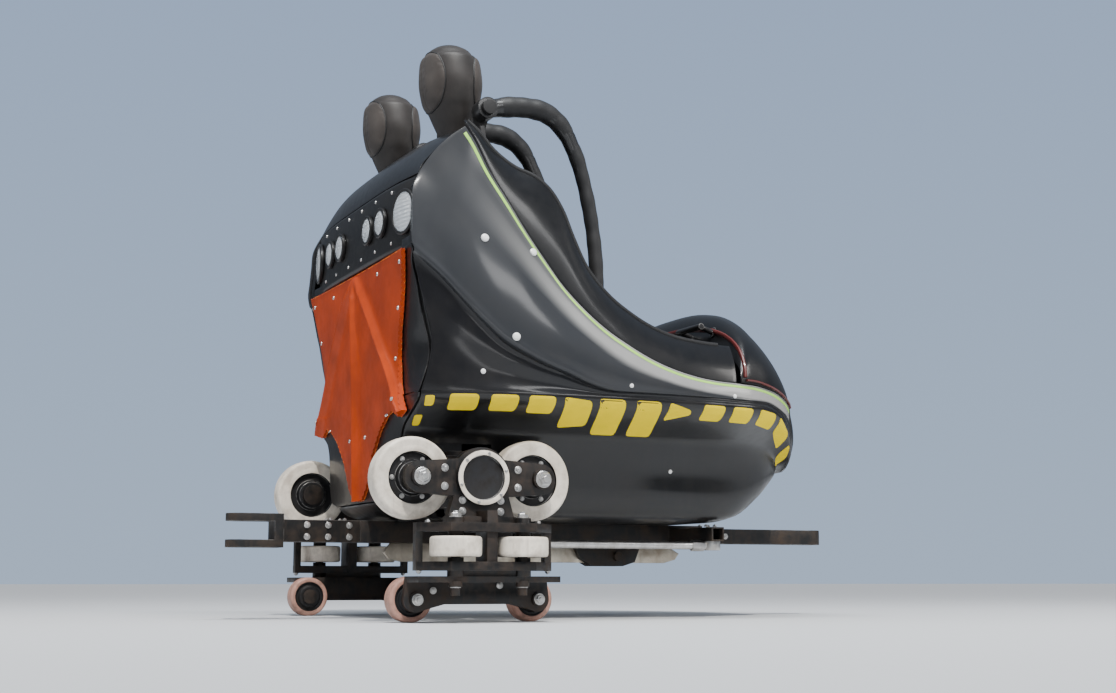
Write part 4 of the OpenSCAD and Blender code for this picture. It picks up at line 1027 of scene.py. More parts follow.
# %% Corner flanges
for side, s in SIDES:
    flank_side = ray_target(f"flank_{side}_shell")
    corner = []
    for z in (336, 360, 420, 480, 540, 600, 650, 676, 694, 720, 780, 840, 895, 930, 960, 990, 1012):
        edge_x = rear_edge(z)[0]
        found = [hit(flank_side, edge_x + off, z, s) for off in (10, 34)]
        near, far = (p - n * (SKIN + 0.5) for p, n in found)
        reach = abs(near[1])
        if z < 905:
            row = [[rear_point(reach - off, z, FLANGE_OFF)[0], s * (reach - off), z] for off in (36, 3)]
        else:
            row = [[edge_x + 4, s * (reach - 36), z - 3], [edge_x + 6, s * (reach - 3), z]]
        corner.append(row + [list(near), list(far)])
    shell(f"rear_corner_flange_{side}", refine(corner, 3), 1.5, black_shell, inside=(300, 0, 600),
        body="chassis", slot="black_shell", rim_width=0.3)

# %% [markdown]
# The dashes lean and change in height along the car, and two small patches turn the corner to the rear, so each
# is a row of a table.

# %% Yellow dashes under the belt
# middle x, length, top and foot under the belt, lean of the foot, how far the front end narrows to a point
DASHES = [(-34, 72, 8, 46, 6, 0), (69, 72, 8, 46, 6, 0), (171, 74, 8, 48, 8, 0), (281, 80, 8, 78, 26, 0.2),
    (384, 76, 8, 90, 34, 0), (494, 76, 8, 90, 34, 0), (583, 72, 8, 52, 6, 0.75),
    (693, 74, 8, 46, 4, 0), (796, 74, 8, 46, 6, 0), (902, 74, 8, 46, 8, 0), (996, 68, 8, 44, 8, 0.2),
    (1072, 36, 8, 32, 4, 0.3)]
for side, s in SIDES:
    body_side = ray_target("hull_shell", f"flank_{side}_shell")
    parts = []
    for x, length, top, foot, lean, point in DASHES:
        half, mid = length / 2, (top + foot) / 2
        shape = [(-half - lean / 2, top), (half - lean / 2, mid + (top - mid) * (1 - point)),
            (half + lean / 2, mid + (foot - mid) * (1 - point)), (-half + lean / 2, foot)]
        shape = rounded([(x + dx, -dz) for dx, dz in shape], 9, 5)
        parts.append(decal(body_side, [(px, float(lookup(px, BELT)) + pz) for px, pz in shape], s))
    for x, z, w in ((-118, 306, 22), (-122, 262, 18)):
        patch = [(x - w / 2, z + 12), (x + w / 2, z + 12), (x + w / 2 + 4, z - 12), (x - w / 2 + 6, z - 12)]
        parts.append(decal(body_side, rounded(patch, 5), s))
    make(f"yellow_dashes_{side}", *together(parts), yellow_paint, "chassis")

# %% [markdown]
# A red edge trim runs round the hood's lip and its feet, a foam tube along the cockpit's rim, and a rubber seal
# in the joint at the nose. All are rods along lines that the shells already have.

# %% Trim on the hood's lip and the cockpit rims
lip = hood_grid[3]
keep = [k for k in range(len(lip)) if lip[k, 2] > 405]
make("hood_trim", *tube_along(lip[keep][::2] + [1, 0, 1], 5.5, 10, (1.0, 1.6)), red_trim, "chassis")
for side, s in SIDES:
    foot_line = hood_grid[4:, 2 if s > 0 else -3]
    foot_line = foot_line[foot_line[:, 0] < 1052]
    make(f"hood_foot_trim_{side}", *tube_along(foot_line[::2] + [0, s * 1.0, 0], 4.0, 8, (1.4, 0.8)),
        red_trim, "chassis")
    rim_line = refine(np.array(upper), 5)[1:-2]
    make(f"cockpit_rim_{side}", *tube_along((rim_line + [0, -2.5, 0]) * [1, s, 1], 6.5, 10),
        foam_sleeve, "chassis")

# a rubber seal in the joint of hood and hull round the nose
foot = [row for row in range(len(hood_grid)) if hood_grid[row, 0, 0] > 1020]
nose_line = np.concatenate([hood_grid[foot, 0], hood_grid[-1, 1:-1], hood_grid[foot[::-1], -1]])
make("nose_seal", *tube_along(nose_line[::2] + [-2.0, 0, -2.5], 3.6, 8), foam_sleeve, "chassis")

# %% [markdown]
# ## Pads
# A seat pad is foam under a sewn cover. The cover is longer than the foam, is held at its seams and is pushed
# out between them. A crowned grid alone looks like moulded plastic, so Blender's cloth does the last step:
# the seams and the underside are pinned, the cover is made a little larger, and air pressure fills it with
# gravity off. The result is read back into the mesh and limited, so a pad never reaches its neighbours.

# %% Covers under tension
def swell(piece, most, larger=0.025, pressure=1.5, steps=20):
    """Lets a pad swell like cloth by no more than the given metres, sewn down where "sewn" is above a half."""
    mesh = piece.data
    count = len(mesh.vertices)
    sewn = np.empty(count, np.float32)
    mesh.attributes["sewn"].data.foreach_get("value", sewn)
    mesh.attributes.remove(mesh.attributes["sewn"])
    group = piece.vertex_groups.new(name="sewn")
    group.add([int(i) for i in np.flatnonzero(sewn > 0.5)], 1.0, "REPLACE")
    cover = piece.modifiers.new("cover", "CLOTH")
    cloth = cover.settings
    cloth.vertex_group_mass, cloth.shrink_min, cloth.shrink_max = "sewn", -larger, -larger
    cloth.use_pressure, cloth.uniform_pressure_force, cloth.effector_weights.gravity = True, pressure, 0.0
    cover.collision_settings.use_collision = False
    cover.point_cache.frame_start, cover.point_cache.frame_end = 1, steps
    for frame_number in range(1, steps + 1):
        bpy.context.scene.frame_set(frame_number)
    swollen = piece.evaluated_get(bpy.context.evaluated_depsgraph_get()).data
    start, end = np.empty(3 * count), np.empty(3 * count)
    mesh.vertices.foreach_get("co", start)
    swollen.vertices.foreach_get("co", end)
    move = (end - start).reshape(-1, 3)
    reach = np.linalg.norm(move, axis=1, keepdims=True)
    move *= most * np.tanh(reach / most) / np.maximum(reach, 1e-9)
    piece.modifiers.remove(cover)
    piece.vertex_groups.remove(group)
    mesh.vertices.foreach_set("co", start + move.ravel())
    mesh.update()
    bpy.context.scene.frame_set(1)
    print(piece.name, "swelled by up to", round(float(reach.max()) * 1000, 1), "mm, kept within", most * 1000)


# %% Seat and back pads
# both seats lie this far from the middle, and their pads a little nearer to it
SEAT_Y, PAD_SHARE, PAD_WIDE, PAD_LIFT = 255, 0.91, 356, 6.4
# the seat shell's surface under the pads, as (x, z)
BACK_LINE = [(44.5, 1024), (75, 850), (107, 659), (134.3, 492)]
PAN_LINE = [(200, 330.7), (240, 312.6), (320, 321.4), (400, 330.3), (480, 340.6), (516, 334.7)]


def cushion(name, line, middle, wide, thick, channels, material, node, side_lift):
    """A crowned pad along a line of the seat, its sides pulled in and sewn across at the channels."""
    spine_line = refine(np.array(line, float), 14)
    ahead = np.gradient(spine_line, axis=0)
    ahead /= np.linalg.norm(ahead, axis=1, keepdims=True)
    out = np.stack([-ahead[:, 1], ahead[:, 0]], 1)
    if (out * (np.array([420, 760]) - spine_line)).sum() < 0:
        out = -out
    rows, cols = len(spine_line), 61
    top, bottom, sewn = [], [], []
    for i in range(rows):
        u = i / (rows - 1)
        end = (1 - abs(2 * u - 1) ** 7) ** 0.5
        seam = sum(math.exp(-(((u - c) / 0.012) ** 2)) for c in channels)
        bulge = 1 + 0.12 * math.cos(2 * math.pi * (len(channels) + 1) * u)
        for j in range(cols):
            v = 2 * j / (cols - 1) - 1
            across = (1 - abs(v) ** 6) ** 0.5
            y = middle + v * wide / 2 * (0.975 + 0.025 * end - 0.012 * seam)
            pinch = math.exp(-(((abs(v) - 0.68) / 0.03) ** 2))
            h = PAD_LIFT + thick * end * across * (0.86 + 0.14 * (1 - v * v)) * bulge
            h += side_lift * max(0, abs(v) - 0.7) / 0.3 * across * end
            h -= 7 * seam * across * (abs(v) < 0.68) + 5 * pinch * end
            p = spine_line[i] + out[i] * max(h, PAD_LIFT)
            q = spine_line[i] + out[i] * PAD_LIFT
            top.append([p[0], y, p[1]])
            bottom.append([q[0], y, q[1]])
            sewn.append(max(seam * (abs(v) < 0.7), pinch, 1.0 - across, 1.0 - end))
    faces, _ = two_sided(rows, cols)
    piece = make(name, top + bottom, faces, material, "chassis", (node,), "seat_pad", sharp=80,
        attributes={"sewn": sewn + [1.0] * len(sewn)})
    swell(piece, 0.007)


for side, s in SIDES:
    middle = s * SEAT_Y * PAD_SHARE
    cushion(f"seat_back_cushion_{side}", BACK_LINE, middle, PAD_WIDE, 34, (0.25, 0.5, 0.75), vinyl_black,
        f"cushion_{side}", 22)
    cushion(f"seat_pan_cushion_{side}", PAN_LINE, middle, PAD_WIDE, 30, (0.34, 0.67), vinyl_black,
        f"cushion_{side}", 14)
softened("seats", seat_plastic, 1.0, sharp=50)

# %% [markdown]
# A headrest is an egg on a neck, with a softer pad set into its front and back and a thin piping round each
# pad. The egg is a stack of ellipses. The pads use the same table, so they lie on the egg, and a square grid is
# squeezed into a round-cornered field so that no pole pinches the grain.

# %% The headrests' rule
# (share of the height, half-width, half-depth, x), from the neck up
HEADREST = [(0, 60, 38, 16), (0.08, 65, 43, 13), (0.16, 72, 49, 9), (0.28, 83, 60, 5), (0.43, 95, 73, 1),
    (0.6, 101, 79, 0), (0.75, 96, 77, -2), (0.87, 82, 66, -4), (0.955, 54, 45, -6), (0.99, 26, 22, -7),
    (1, 9, 8, -8)]
HEAD_X, HEAD_FOOT, HEAD_TALL = 10, 1062.15, 268


def head_patch(name, s, lo, hi, half_angle, towards, crown, material):
    """A crowned pad set in the headrest, and the piping round it."""
    rows, cols = 40, 61
    shares = refine(np.array(HEADREST), 8)
    top, bottom, border, sewn = [], [], [], []
    for i in range(rows):
        u = 2 * i / (rows - 1) - 1
        for j in range(cols):
            v = 2 * j / (cols - 1) - 1
            # a round-cornered field squeezed from the square
            a, b = u * math.sqrt(1 - 0.42 * v * v), v * math.sqrt(1 - 0.42 * u * u)
            share, angle = (lo + hi) / 2 + a * (hi - lo) / 2, towards + b * half_angle
            hy, hx, cx = (np.interp(share, shares[:, 0], shares[:, k]) for k in (1, 2, 3))
            rise = crown * (1 - max(abs(u), abs(v)) ** 6) ** 0.5 * (1 - 0.5 * math.exp(-((v / 0.05) ** 2)))
            for grow, store in ((rise, top), (-5, bottom)):
                store.append([HEAD_X + cx + (hx + grow) * math.cos(angle),
                              s * SEAT_Y + (hy + grow * 0.5) * math.sin(angle), HEAD_FOOT + share * HEAD_TALL])
            sewn.append(max(max(abs(u), abs(v)) > 0.94, abs(v) < 0.04))
            if max(abs(u), abs(v)) > 0.999:
                edge_point = [HEAD_X + cx + (hx + 0.6) * math.cos(angle),
                              s * SEAT_Y + (hy + 0.6) * math.sin(angle), HEAD_FOOT + share * HEAD_TALL]
                border.append((math.atan2(u, v), edge_point))
    faces, _ = two_sided(rows, cols)
    pad = make(name, top + bottom, faces, material, "chassis", slot="head_foam", sharp=80,
        attributes={"sewn": sewn + [1.0] * len(sewn)})
    swell(pad, 0.0015, larger=0.006)
    ring = [p for _, p in sorted(border, key=lambda e: e[0])]
    path = np.array(ring + ring[:2])
    path = (np.roll(path, 1, 0) + 2 * path + np.roll(path, -1, 0))[1:-1] / 4
    make(name + "_piping", *tube_along(path, 2.2, 8), vinyl_black, "chassis", slot="head_foam")


# %% Headrests
for side, s in SIDES:
    rings = refine(np.array(HEADREST, float), 5)
    verts, around = [], 56
    for share, hy, hx, cx in rings:
        for k in range(around):
            a = 2 * math.pi * k / around
            verts.append([HEAD_X + cx + hx * math.cos(a), s * SEAT_Y + hy * math.sin(a),
                          HEAD_FOOT + share * HEAD_TALL])
    n = len(rings)
    faces = [(i * around + k, i * around + (k + 1) % around, (i + 1) * around + (k + 1) % around,
              (i + 1) * around + k) for i in range(n - 1) for k in range(around)]
    faces += [tuple(range(around))[::-1], tuple((n - 1) * around + k for k in range(around))]
    egg = make(f"headrest_{side}_shell", verts, faces, vinyl_dark_brown, "chassis", (f"headrest_{side}",),
        "head_foam", sharp=60)
    # the pads' lighter brown is painted light on the front and back of the egg
    head_patch(f"headrest_{side}_face", s, 0.26, 0.92, math.radians(62), 0.0, 9, vinyl_painted_light_brown)
    head_patch(f"headrest_{side}_back", s, 0.27, 0.90, math.radians(56), math.pi, 5, vinyl_painted_light_brown)

# %% [markdown]
# ## Lap bars
# Each bar is two curved arms and a padded roll across the lap. The arms wear foam sleeves, slightly lumpy from
# use and drawn in where they end. A sleeve is a swept circle with its own radius at every point, and all
# pieces of a bar ride on its body, so they open together.

# %% The arms' line and the sleeves
# (x, z, radius) from the hinge to the roll
BAR_PATH = [(62, 1119, 22), (95, 1128, 26), (140, 1136, 27), (190, 1139, 27), (238, 1133, 27),
    (278, 1110, 25), (311, 1068, 22), (338, 1012, 20), (358, 948, 19), (374, 880, 19), (386, 810, 19),
    (394, 740, 19), (399, 660, 19), (400, 590, 19)]
bar = refine(np.array(BAR_PATH, float), 8)
ARM_OUT, ROLL_X, ROLL_Z = 138, 400, 590


def sleeve(first, last, y, grow, around=20):
    """A foam sleeve over part of an arm, drawn in at its ends."""
    part = bar[first:last]
    ends = np.minimum(np.arange(len(part)), np.arange(len(part))[::-1])
    taper = np.clip(ends / 2.0, 0, 1) ** 0.5
    radius = part[:, 2] - 1.5 + (grow + 1.5) * taper
    path = refine(np.stack([part[:, 0], np.full(len(part), y), part[:, 1], radius], 1), 3)
    at = np.arange(len(path))
    lumps = 0.5 * np.sin(at * 0.31 + y) + 0.4 * np.sin(at * 0.137 + 2 * y)
    return tube_along(path[:, :3], path[:, 3] + lumps - 0.3, around)


# %% [markdown]
# The steel of a bar keeps its CAD shape. Over it go two sleeves on each arm, and the roll with two thin welts
# where its cover is joined. The sleeves stop short of each other in the bend, so that steel shows there.

# %% Lap bars
for side, s in SIDES:
    softened(f"lap_bar_{side}", bar_paint, 0.8, sharp=32)
    arms = [sleeve(a, b, s * SEAT_Y + k * ARM_OUT, grow) for k in (-1, 1)
            for a, b, grow in ((9, 48, 1.6), (51, 98, 1.4))]
    sleeves = make(f"lap_bar_{side}_sleeves", *together(arms), foam_sleeve, f"lap_bar_{side}", slot="bar_foam")
    profile = rounded([[19.4, -114], [38, -114], [45, -106], [46, -40], [45, 0], [46, 40], [45, 106], [38, 114],
        [19.4, 114]], 5)
    centre = [ROLL_X, s * SEAT_Y, ROLL_Z]
    pad = turned(profile, centre, [0, 1, 0], 56)
    roll = make(f"lap_pad_{side}_roll", *pad, vinyl_black, f"lap_bar_{side}", (f"lap_pad_{side}",), "bar_foam")
    six = np.linspace(0, 2 * math.pi, 7)[:-1]
    seams = [turned([[46.6 + 1.2 * math.cos(a), y + 1.2 * math.sin(a)] for a in six], centre, [0, 1, 0], 56)
             for y in (-40, 40)]
    make(f"lap_pad_{side}_seams", *together(seams), vinyl_black, f"lap_bar_{side}")

# %% [markdown]
# ## Wheels
# A bogie has two load wheels that carry the car, two side wheels on upright axles that guide it, and two lower
# wheels that hold it down. Each is a urethane tread cast on a metal hub. Treads and hubs are turned profiles
# whose corners are rounded first, because a turned corner keeps its radius all the way round. Every wheel
# rides on its own body and can spin.

# %% Profiles of hub and tread
# tag, side, and 1 for the front wheel of a pair
WHEELS = (("rf", -1, 1), ("rr", -1, -1), ("lf", 1, 1), ("lr", 1, -1))


def hub_of(d, w):
    """Profile of the hub of a small wheel, from its diameter and width."""
    return rounded([[12.05, 0], [30, 0], [34, 6], [d / 2 - 18, 6], [d / 2 - 16, 0.4], [d / 2 - 14, 0.4],
        [d / 2 - 14, w - 0.4], [d / 2 - 16, w - 0.4], [d / 2 - 18, w - 6], [34, w - 6], [30, w], [12.05, w]],
        1.2, 2)


def tread_of(d, w):
    """Profile of the tread of a small wheel, from its diameter and width."""
    return rounded([[d / 2 - 14, 0], [d / 2 - 5.5, 0], [d / 2 - 1.5, 2.2], [d / 2, 7], [d / 2, w - 7],
        [d / 2 - 1.5, w - 2.2], [d / 2 - 5.5, w], [d / 2 - 14, w]], 2.2, 3)


# %% [markdown]
# A load wheel keeps its CAD hub and has a light ring on each face of its rim. Side and lower wheels are plain,
# so two helpers draw all eight of them from a diameter and a width.

# %% Wheels
# where the middles of the wheels' inner or lower faces lie
AXLE_X, LOAD_Y, LOAD_Z = 165, 430, 105
SIDE_X, SIDE_Y, SIDE_Z = 90, 594.85, -94.85
LOWER_Y, LOWER_Z = 435, -200.2
for tag, s, front in WHEELS:
    outward = [0, s, 0]
    centre = [front * AXLE_X, s * LOAD_Y, LOAD_Z]
    tyre = rounded([[79, 0], [81, 0.6], [97, 0.2], [101.5, 2.2], [104.2, 6], [105, 12], [105, 48], [104.2, 54],
        [101.5, 57.8], [97, 59.8], [81, 59.4], [79, 60]], 2.0, 3)
    make(f"load_tyre_{tag}_tread", *turned(tyre, centre, outward, 96), cream_tread, f"load_wheel_{tag}",
        (f"load_tyre_{tag}",), "cream_tread")
    rings = [turned(rounded([[67, a], [79.3, a], [79.3, b], [67, b]], 0.6, 2), centre, outward, 96)
             for a, b in ((0.2, 1.9), (58.1, 59.8))]
    make(f"load_rim_{tag}_faces", *together(rings), cream_tread, f"load_wheel_{tag}", slot="cream_tread")
    softened(f"load_hub_{tag}", hub_metal, 0.9)
    centre = [front * SIDE_X, s * SIDE_Y, SIDE_Z]
    make(f"side_wheel_{tag}_tread", *turned(tread_of(130, 50), centre, [0, 0, 1], 80),
        cream_tread, f"side_wheel_{tag}", (f"side_wheel_{tag}",), "side_tread")
    make(f"side_wheel_{tag}_hub", *turned(hub_of(130, 50), centre, [0, 0, 1], 64),
        hub_metal, f"side_wheel_{tag}")
    centre = [front * AXLE_X, s * LOWER_Y, LOWER_Z]
    make(f"lower_wheel_{tag}_tread", *turned(tread_of(115, 50), centre, outward, 72),
        brown_tread, f"lower_wheel_{tag}", (f"lower_wheel_{tag}",), "lower_tread")
    make(f"lower_wheel_{tag}_hub", *turned(hub_of(115, 50), centre, outward, 64),
        hub_metal, f"lower_wheel_{tag}")

# %% [markdown]
# ## Frame, bogies and couplings
# These are plates, tubes and castings whose shapes the CAD solids already have. Modelling them again would add
# nothing, so each solid's own mesh is cleaned, its hard edges are rounded, and it gets paint with wear on those
# edges.

# %% Steelwork
STEELWORK = [
    ("axle_beam", frame_black, "axle_steel"),
    ("spine", frame_black, "frame_paint"),
    ("front_coupling", frame_black, "frame_paint"),
    ("rear_coupling", frame_black, "frame_paint"),
    ("chain_dog", frame_black, "frame_paint"),
    ("grab_handles", bar_paint, "frame_paint"),
    ("brake_fin", fin_steel, "fin_steel"),
    ("radius_rod_right", bright_steel, "bright_steel"),
    ("radius_rod_left", bright_steel, "bright_steel"),
    ("bogie_frame_right", bogie_black, "bogie_paint"),
    ("bogie_frame_left", bogie_black, "bogie_paint"),
    ("hub_cap_right", hub_metal, "bright_steel"),
    ("hub_cap_left", hub_metal, "bright_steel"),
]
for node, material, slot_name in STEELWORK:
    softened(node, material, 1.3)

# %% Light rings of the hub caps
cap_ring = rounded([[57.2, 15.5], [69.0, 15.5], [69.0, 16.9], [57.2, 16.9]], 0.2, 2)
for side, s in SIDES:
    make(f"hub_cap_{side}_ring", *turned(cap_ring, [0, s * 540, LOAD_Z], [0, s, 0], 80), cream_tread,
        f"bogie_{side}", slot="bright_steel")

# %% [markdown]
# ## Fixings
# About 150 bolts and screws hold the car together. Each could be placed by hand or by a loop that copies
# meshes. One Geometry Nodes tree is shorter: it puts an instance on every point, turns it to the point's
# direction, gives it a random turn about its own axis from a fixed seed, and scales it. The instances are
# realized and the material is set in the tree, so the result is one plain mesh for each body.

# %% Bolt shapes
def bolt_shape(name, profile, sides):
    """A head turned from a profile of (radius, height), closed on its axis."""
    bm = bmesh.new()
    rings = [[bm.verts.new((r * math.cos(2 * math.pi * k / sides), r * math.sin(2 * math.pi * k / sides), h))
              for k in range(sides)] for r, h in profile]
    for a, b in zip(rings, rings[1:]):
        for k in range(sides):
            bm.faces.new((a[k], a[(k + 1) % sides], b[(k + 1) % sides], b[k]))
    bm.faces.new(rings[0][::-1])
    bm.faces.new(rings[-1])
    mesh = bpy.data.meshes.new(name)
    bm.to_mesh(mesh)
    bm.free()
    shape = bpy.data.objects.new(name, mesh)
    bpy.context.scene.collection.objects.link(shape)
    return shape


def hex_bolt():
    """Washer, hexagon head and the end of the thread."""
    washer = bolt_shape("washer", [(1.0, -0.06), (1.0, 0.14), (0.95, 0.18)], 18)
    head = bolt_shape("head", [(0.8, 0.1), (0.8, 0.62), (0.7, 0.72)], 6)
    stem = bolt_shape("stem", [(0.38, 0.6), (0.38, 0.95), (0.32, 1.0)], 10)
    bm = bmesh.new()
    for part in (washer, head, stem):
        bm.from_mesh(part.data)
        bpy.data.objects.remove(part)
    mesh = bpy.data.meshes.new("hex_bolt")
    bm.to_mesh(mesh)
    bm.free()
    shape = bpy.data.objects.new("hex_bolt", mesh)
    bpy.context.scene.collection.objects.link(shape)
    return shape


DOME = [(1.0, -0.05), (1.0, 0.1), (0.92, 0.3), (0.7, 0.46), (0.35, 0.54)]
SHAPES = {"hex": hex_bolt(), "dome": bolt_shape("dome_bolt", DOME, 14)}

# %% Bolt tree
bolt_tree = bpy.data.node_groups.new("bolts at points", "GeometryNodeTree")
face = bolt_tree.interface
face.new_socket("Points", in_out="INPUT", socket_type="NodeSocketGeometry")
socket_ids = {key: face.new_socket(key, in_out="INPUT", socket_type=kind).identifier
    for key, kind in (("Bolt", "NodeSocketObject"), ("Size", "NodeSocketFloat"),
        ("Finish", "NodeSocketMaterial"), ("Seed", "NodeSocketInt"))}
face.new_socket("Bolts", in_out="OUTPUT", socket_type="NodeSocketGeometry")
t = bolt_tree
given = t.nodes.new("NodeGroupInput").outputs
direction = step(t, "GeometryNodeInputNamedAttribute", {"Name": "direction"},
    data_type="FLOAT_VECTOR").outputs["Attribute"]
own_size = step(t, "GeometryNodeInputNamedAttribute", {"Name": "size"}, data_type="FLOAT").outputs["Attribute"]
aligned = step(t, "FunctionNodeAlignRotationToVector", {"Vector": direction}, axis="Z").outputs["Rotation"]
random_turn = step(t, "FunctionNodeRandomValue", {"Seed": given["Seed"]}, data_type="FLOAT")
random_turn.inputs[3].default_value = 6.28
spin = step(t, "ShaderNodeCombineXYZ", {"Z": random_turn.outputs[1]}).outputs[0]
turn = step(t, "FunctionNodeRotateRotation", {"Rotation": aligned, "Rotate By": spin},
    rotation_space="LOCAL").outputs["Rotation"]
shape_in = step(t, "GeometryNodeObjectInfo", {"Object": given["Bolt"]}).outputs["Geometry"]
dots = step(t, "GeometryNodeMeshToPoints", {"Mesh": given["Points"]}).outputs["Points"]
full_size = maths(t, "MULTIPLY", own_size, given["Size"])
set_out = step(t, "GeometryNodeInstanceOnPoints",
    {"Points": dots, "Instance": shape_in, "Rotation": turn, "Scale": full_size}).outputs["Instances"]
real = step(t, "GeometryNodeRealizeInstances", {"Geometry": set_out}).outputs["Geometry"]
painted = step(t, "GeometryNodeSetMaterial",
    {"Geometry": real, "Material": given["Finish"]}).outputs["Geometry"]
t.links.new(painted, t.nodes.new("NodeGroupOutput").inputs["Bolts"])


# %% From points to bolts
def bolts(name, body, spots, material, kind="hex", seed=3):
    """Sets a fixing at every spot, given as (place in mm, direction, radius in mm)."""
    mesh = bpy.data.meshes.new(name)
    mesh.from_pydata([tuple(place(p)) for p, _, _ in spots], [], [])
    mesh.attributes.new("direction", "FLOAT_VECTOR", "POINT").data.foreach_set("vector",
        np.array([d for _, d, _ in spots], np.float32).ravel())
    mesh.attributes.new("size", "FLOAT", "POINT").data.foreach_set("value",
        np.array([r for _, _, r in spots], np.float32))
    points = bpy.data.objects.new(name + "_points", mesh)
    bpy.context.scene.collection.objects.link(points)
    setting = points.modifiers.new("bolts", "NODES")
    setting.node_group = bolt_tree
    for key, value in (("Bolt", SHAPES[kind]), ("Size", 0.001), ("Finish", material), ("Seed", seed)):
        setting[socket_ids[key]] = value
    made = bpy.data.meshes.new_from_object(points.evaluated_get(bpy.context.evaluated_depsgraph_get()))
    points.modifiers.remove(setting)
    bpy.data.objects.remove(points)
    for key in ("direction", "size"):
        if key in made.attributes:
            made.attributes.remove(made.attributes[key])
    print(name, "has", len(spots), "fixings")
    return finish_piece(name, made, material, body, sharp=30)


# %% [markdown]
# Bolts stand on flat faces of the bogies, so their places come straight from the part: axle nuts, plate bolts,
# and six round every hub cap and load wheel hub. The shells are curved, so there a ray finds each place and
# its direction.

# %% Bolts of the bogies and wheels, and white caps that paint glints on the flanks
SIX_ROUND = np.linspace(0, 2 * math.pi, 7)[:-1]
# on the bogie's outside, as (x, distance from the middle, z, radius)
PLATE_BOLTS = [(AXLE_X, 554, LOAD_Z, 22), (100, 540, 128, 10), (100, 540, 82, 10), (52, 540, 20, 10),
    (52, 540, 48, 10), (AXLE_X, 530, LOWER_Z, 15), (60, 518, -165, 9), (120, 518, -178, 9)]
# on the flanks and the hull, as (x, z, radius): white caps set where the sun's glints are painted
CAPS = [(9, 731, 11), (150, 706, 11), (84, 470, 11), (10, 381, 7), (420, 360, 6), (760, 352, 6),
    (640, 150, 6), (60, 120, 6)]
for side, s in SIDES:
    out, up, down = (0, s, 0), (0, 0, 1), (0, 0, -1)
    bogie = f"bogie_{side}"
    cap = [((63 * math.cos(a), s * 556.8, LOAD_Z + 63 * math.sin(a)), out, 4.5) for a in SIX_ROUND + 0.3]
    bolts(f"hub_cap_{side}_bolts", bogie, cap, bright_steel)
    spots = []
    for f in (-1, 1):
        outside = [((f * x, s * y, z), out, r) for x, y, z, r in PLATE_BOLTS]
        spots += outside[:5]
        spots += [((f * SIDE_X, s * SIDE_Y, 2.1), up, 17), ((f * SIDE_X, s * SIDE_Y, -168.8), down, 14)]
        spots += [((f * 150, s * 556, -10.85), up, 9)]
        spots += outside[5:] + [((f * 174, s * 560, -128.85), down, 8)]
    bolts(f"bogie_{side}_bolts", bogie, spots, bright_steel)
    for tag, ws, front in WHEELS:
        if ws == s:
            hub = [((front * AXLE_X + 54 * math.cos(a), s * 478.2, LOAD_Z + 54 * math.sin(a)), out, 6.5)
                   for a in SIX_ROUND]
            bolts(f"load_hub_{tag}_bolts", f"load_wheel_{tag}", hub, bright_steel)
    flank_target = ray_target(f"flank_{side}_shell", "hull_shell")
    glints = []
    for x, z, r in CAPS:
        found = hit(flank_target, x, z, s)
        if found:
            glints.append((tuple(found[0]), tuple(found[1]), r))
    bolts(f"flank_{side}_bolts", "chassis", glints, glint_white_cap, "dome")

# %% Screws of the rear panel, the lamp strip and the couplings
panel_target = ray_target("rear_panel_shell")
screws = []
panel_spots = ((395, 676), (355, 560), (318, 430), (352, 318), (262, 284), (130, 130), (205, 676), (70, 240))
for y, z in [(s * a, b) for s in (-1, 1) for a, b in panel_spots]:
    spot, n, _, _ = panel_target.ray_cast(Vector(place([-400, y, z])), Vector((1, 0, 0)))
    if spot:
        outward = np.array(n) * (1 if n.x < 0 else -1)
        screws.append((tuple(np.array(spot) * 1000 + [REAR, 0, FLOOR]), tuple(outward), 6))
bolts("rear_panel_screws", "chassis", screws, bright_steel, "dome")
strip_screws = [((lamp_x(y) - 0.2, s * y, z), (-1, 0, 0), 5) for s in (-1, 1) for y in (60, 182, 305)
                for z in (742, 882)]
bolts("lamp_strip_screws", "chassis", strip_screws, bright_steel, "dome")
chassis_bolts = [((x, s * y, 12 - 0.2), (0, 0, 1), 7) for s in (-1, 1)
                 for x, y in ((950, 20), (980, 20), (-200, 22), (-240, 22))]
chassis_bolts += [((x, s * 34, z), (0, s, 0), 9) for s in (-1, 1) for x in (-190, -250, -310)
                  for z in (-2, -34)]
chassis_bolts += [((x, s * 32, -18), (0, s, 0), 9) for s in (-1, 1) for x in (960, 1010)]
bolts("coupling_bolts", "chassis", chassis_bolts, bright_steel)
for shape in SHAPES.values():
    bpy.data.objects.remove(shape)

# %% [markdown]
# ## Floor, light and camera
# The car is shown outdoors in bright sun. A plain pale floor and a plain blue backdrop keep its outline easy to
# read. The sun gives the crisp shade, and large soft panels give the long highlights that show the curves of
# glossy black shells. The backdrop is seen by the camera only, and a darker gradient lights the car, because
# black paint mirrors everything around it. The camera stands at floor level.

# %% Floor
def stage_material(name, colour):
    """A plain matt material for what isn't part of the car."""
    material = bpy.data.materials.new(name)
    material.use_nodes = True
    shade = material.node_tree.nodes["Principled BSDF"]
    shade.inputs["Base Color"].default_value, shade.inputs["Roughness"].default_value = rgba(colour), 0.9
    return material


mesh = bpy.data.meshes.new("floor")
mesh.from_pydata([(-90, -40, 0), (90, -40, 0), (90, 90, 0), (-90, 90, 0)], [], [(0, 1, 2, 3)])
mesh.materials.append(stage_material("pale_floor", (0.60, 0.615, 0.635)))
floor = bpy.data.objects.new("floor", mesh)
bpy.context.scene.collection.objects.link(floor)


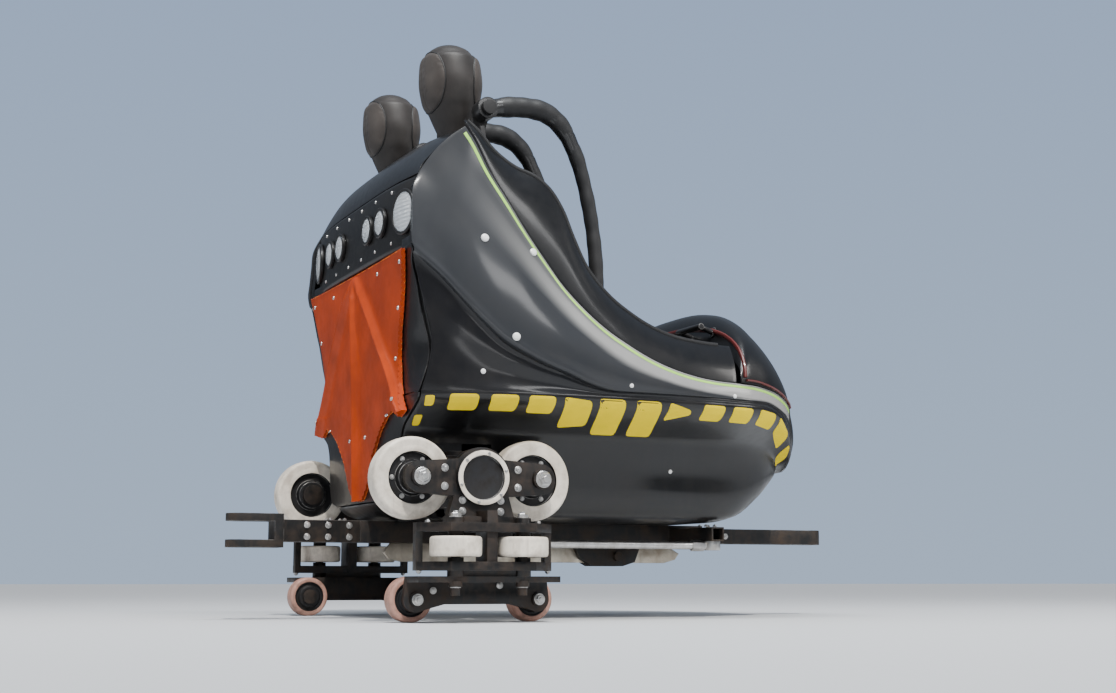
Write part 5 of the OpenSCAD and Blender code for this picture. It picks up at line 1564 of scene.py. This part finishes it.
# %% Soft panels and sun
def lamp(name, where, towards, size, power, colour=(1, 1, 1)):
    """A rectangular light at a place, turned towards another."""
    data = bpy.data.lights.new(name, "AREA")
    data.shape, data.size, data.size_y, data.energy, data.color = "RECTANGLE", size[0], size[1], power, colour
    light = bpy.data.objects.new(name, data)
    bpy.context.scene.collection.objects.link(light)
    light.location = where
    light.rotation_euler = (Vector(towards) - Vector(where)).to_track_quat("-Z", "Y").to_euler()


lamp("sky_panel", (-0.6, -1.6, 4.6), (0.1, 0, 0.6), (3.4, 0.9), 230, (0.95, 0.98, 1.0))
lamp("side_panel", (1.4, -5.2, 3.3), (0.2, 0, 0.6), (2.6, 0.8), 70)
lamp("rear_panel_light", (-4.6, 0.9, 2.6), (0, 0, 0.6), (1.2, 1.4), 45, (1.0, 0.97, 0.92))
lamp("nose_panel", (4.2, -2.6, 2.4), (0.4, 0, 0.5), (1.4, 1.2), 50, (1.0, 0.97, 0.93))
lamp("low_fill", (-1.2, -4.6, 0.5), (-0.2, 0, 0.2), (2.4, 0.3), 10)
sun = bpy.data.lights.new("sun", "SUN")
sun.energy, sun.angle, sun.color = 3.0, math.radians(1.5), (1.0, 0.97, 0.92)
sun_at = bpy.data.objects.new("sun", sun)
bpy.context.scene.collection.objects.link(sun_at)
sun_at.rotation_euler = Vector((0.14, 0.60, -0.80)).to_track_quat("-Z", "Y").to_euler()

# %% Backdrop
world = bpy.data.worlds.new("studio")
bpy.context.scene.world = world
world.use_nodes = True
t = world.node_tree
upward = step(t, "ShaderNodeSeparateXYZ", {0: step(t, "ShaderNodeTexCoord").outputs["Generated"]}).outputs["Z"]
sky = mixed(t, spread(t, upward, 0.0, 0.5), rgba((0.44, 0.55, 0.72)), rgba((0.33, 0.45, 0.68)))
lit = mixed(t, spread(t, upward, -0.15, 0.9), rgba((0.05, 0.05, 0.05)), rgba((0.30, 0.36, 0.46)))
seen = step(t, "ShaderNodeLightPath").outputs["Is Camera Ray"]
t.links.new(mixed(t, seen, lit, sky), t.nodes["Background"].inputs[0])
t.nodes["Background"].inputs[1].default_value = 1.0

# %% Camera
camera = bpy.data.objects.new("camera", bpy.data.cameras.new("camera"))
bpy.context.scene.collection.objects.link(camera)
bpy.context.scene.camera = camera
camera.data.lens, camera.data.sensor_width = 52, 36
camera.location = (-1.95, -4.35, 0.10)
camera.rotation_euler = (Vector((0.04, 0, 0.80)) - camera.location).to_track_quat("-Z", "Y").to_euler()
print("the camera stands", round(camera.location.z, 2), "m over the floor")
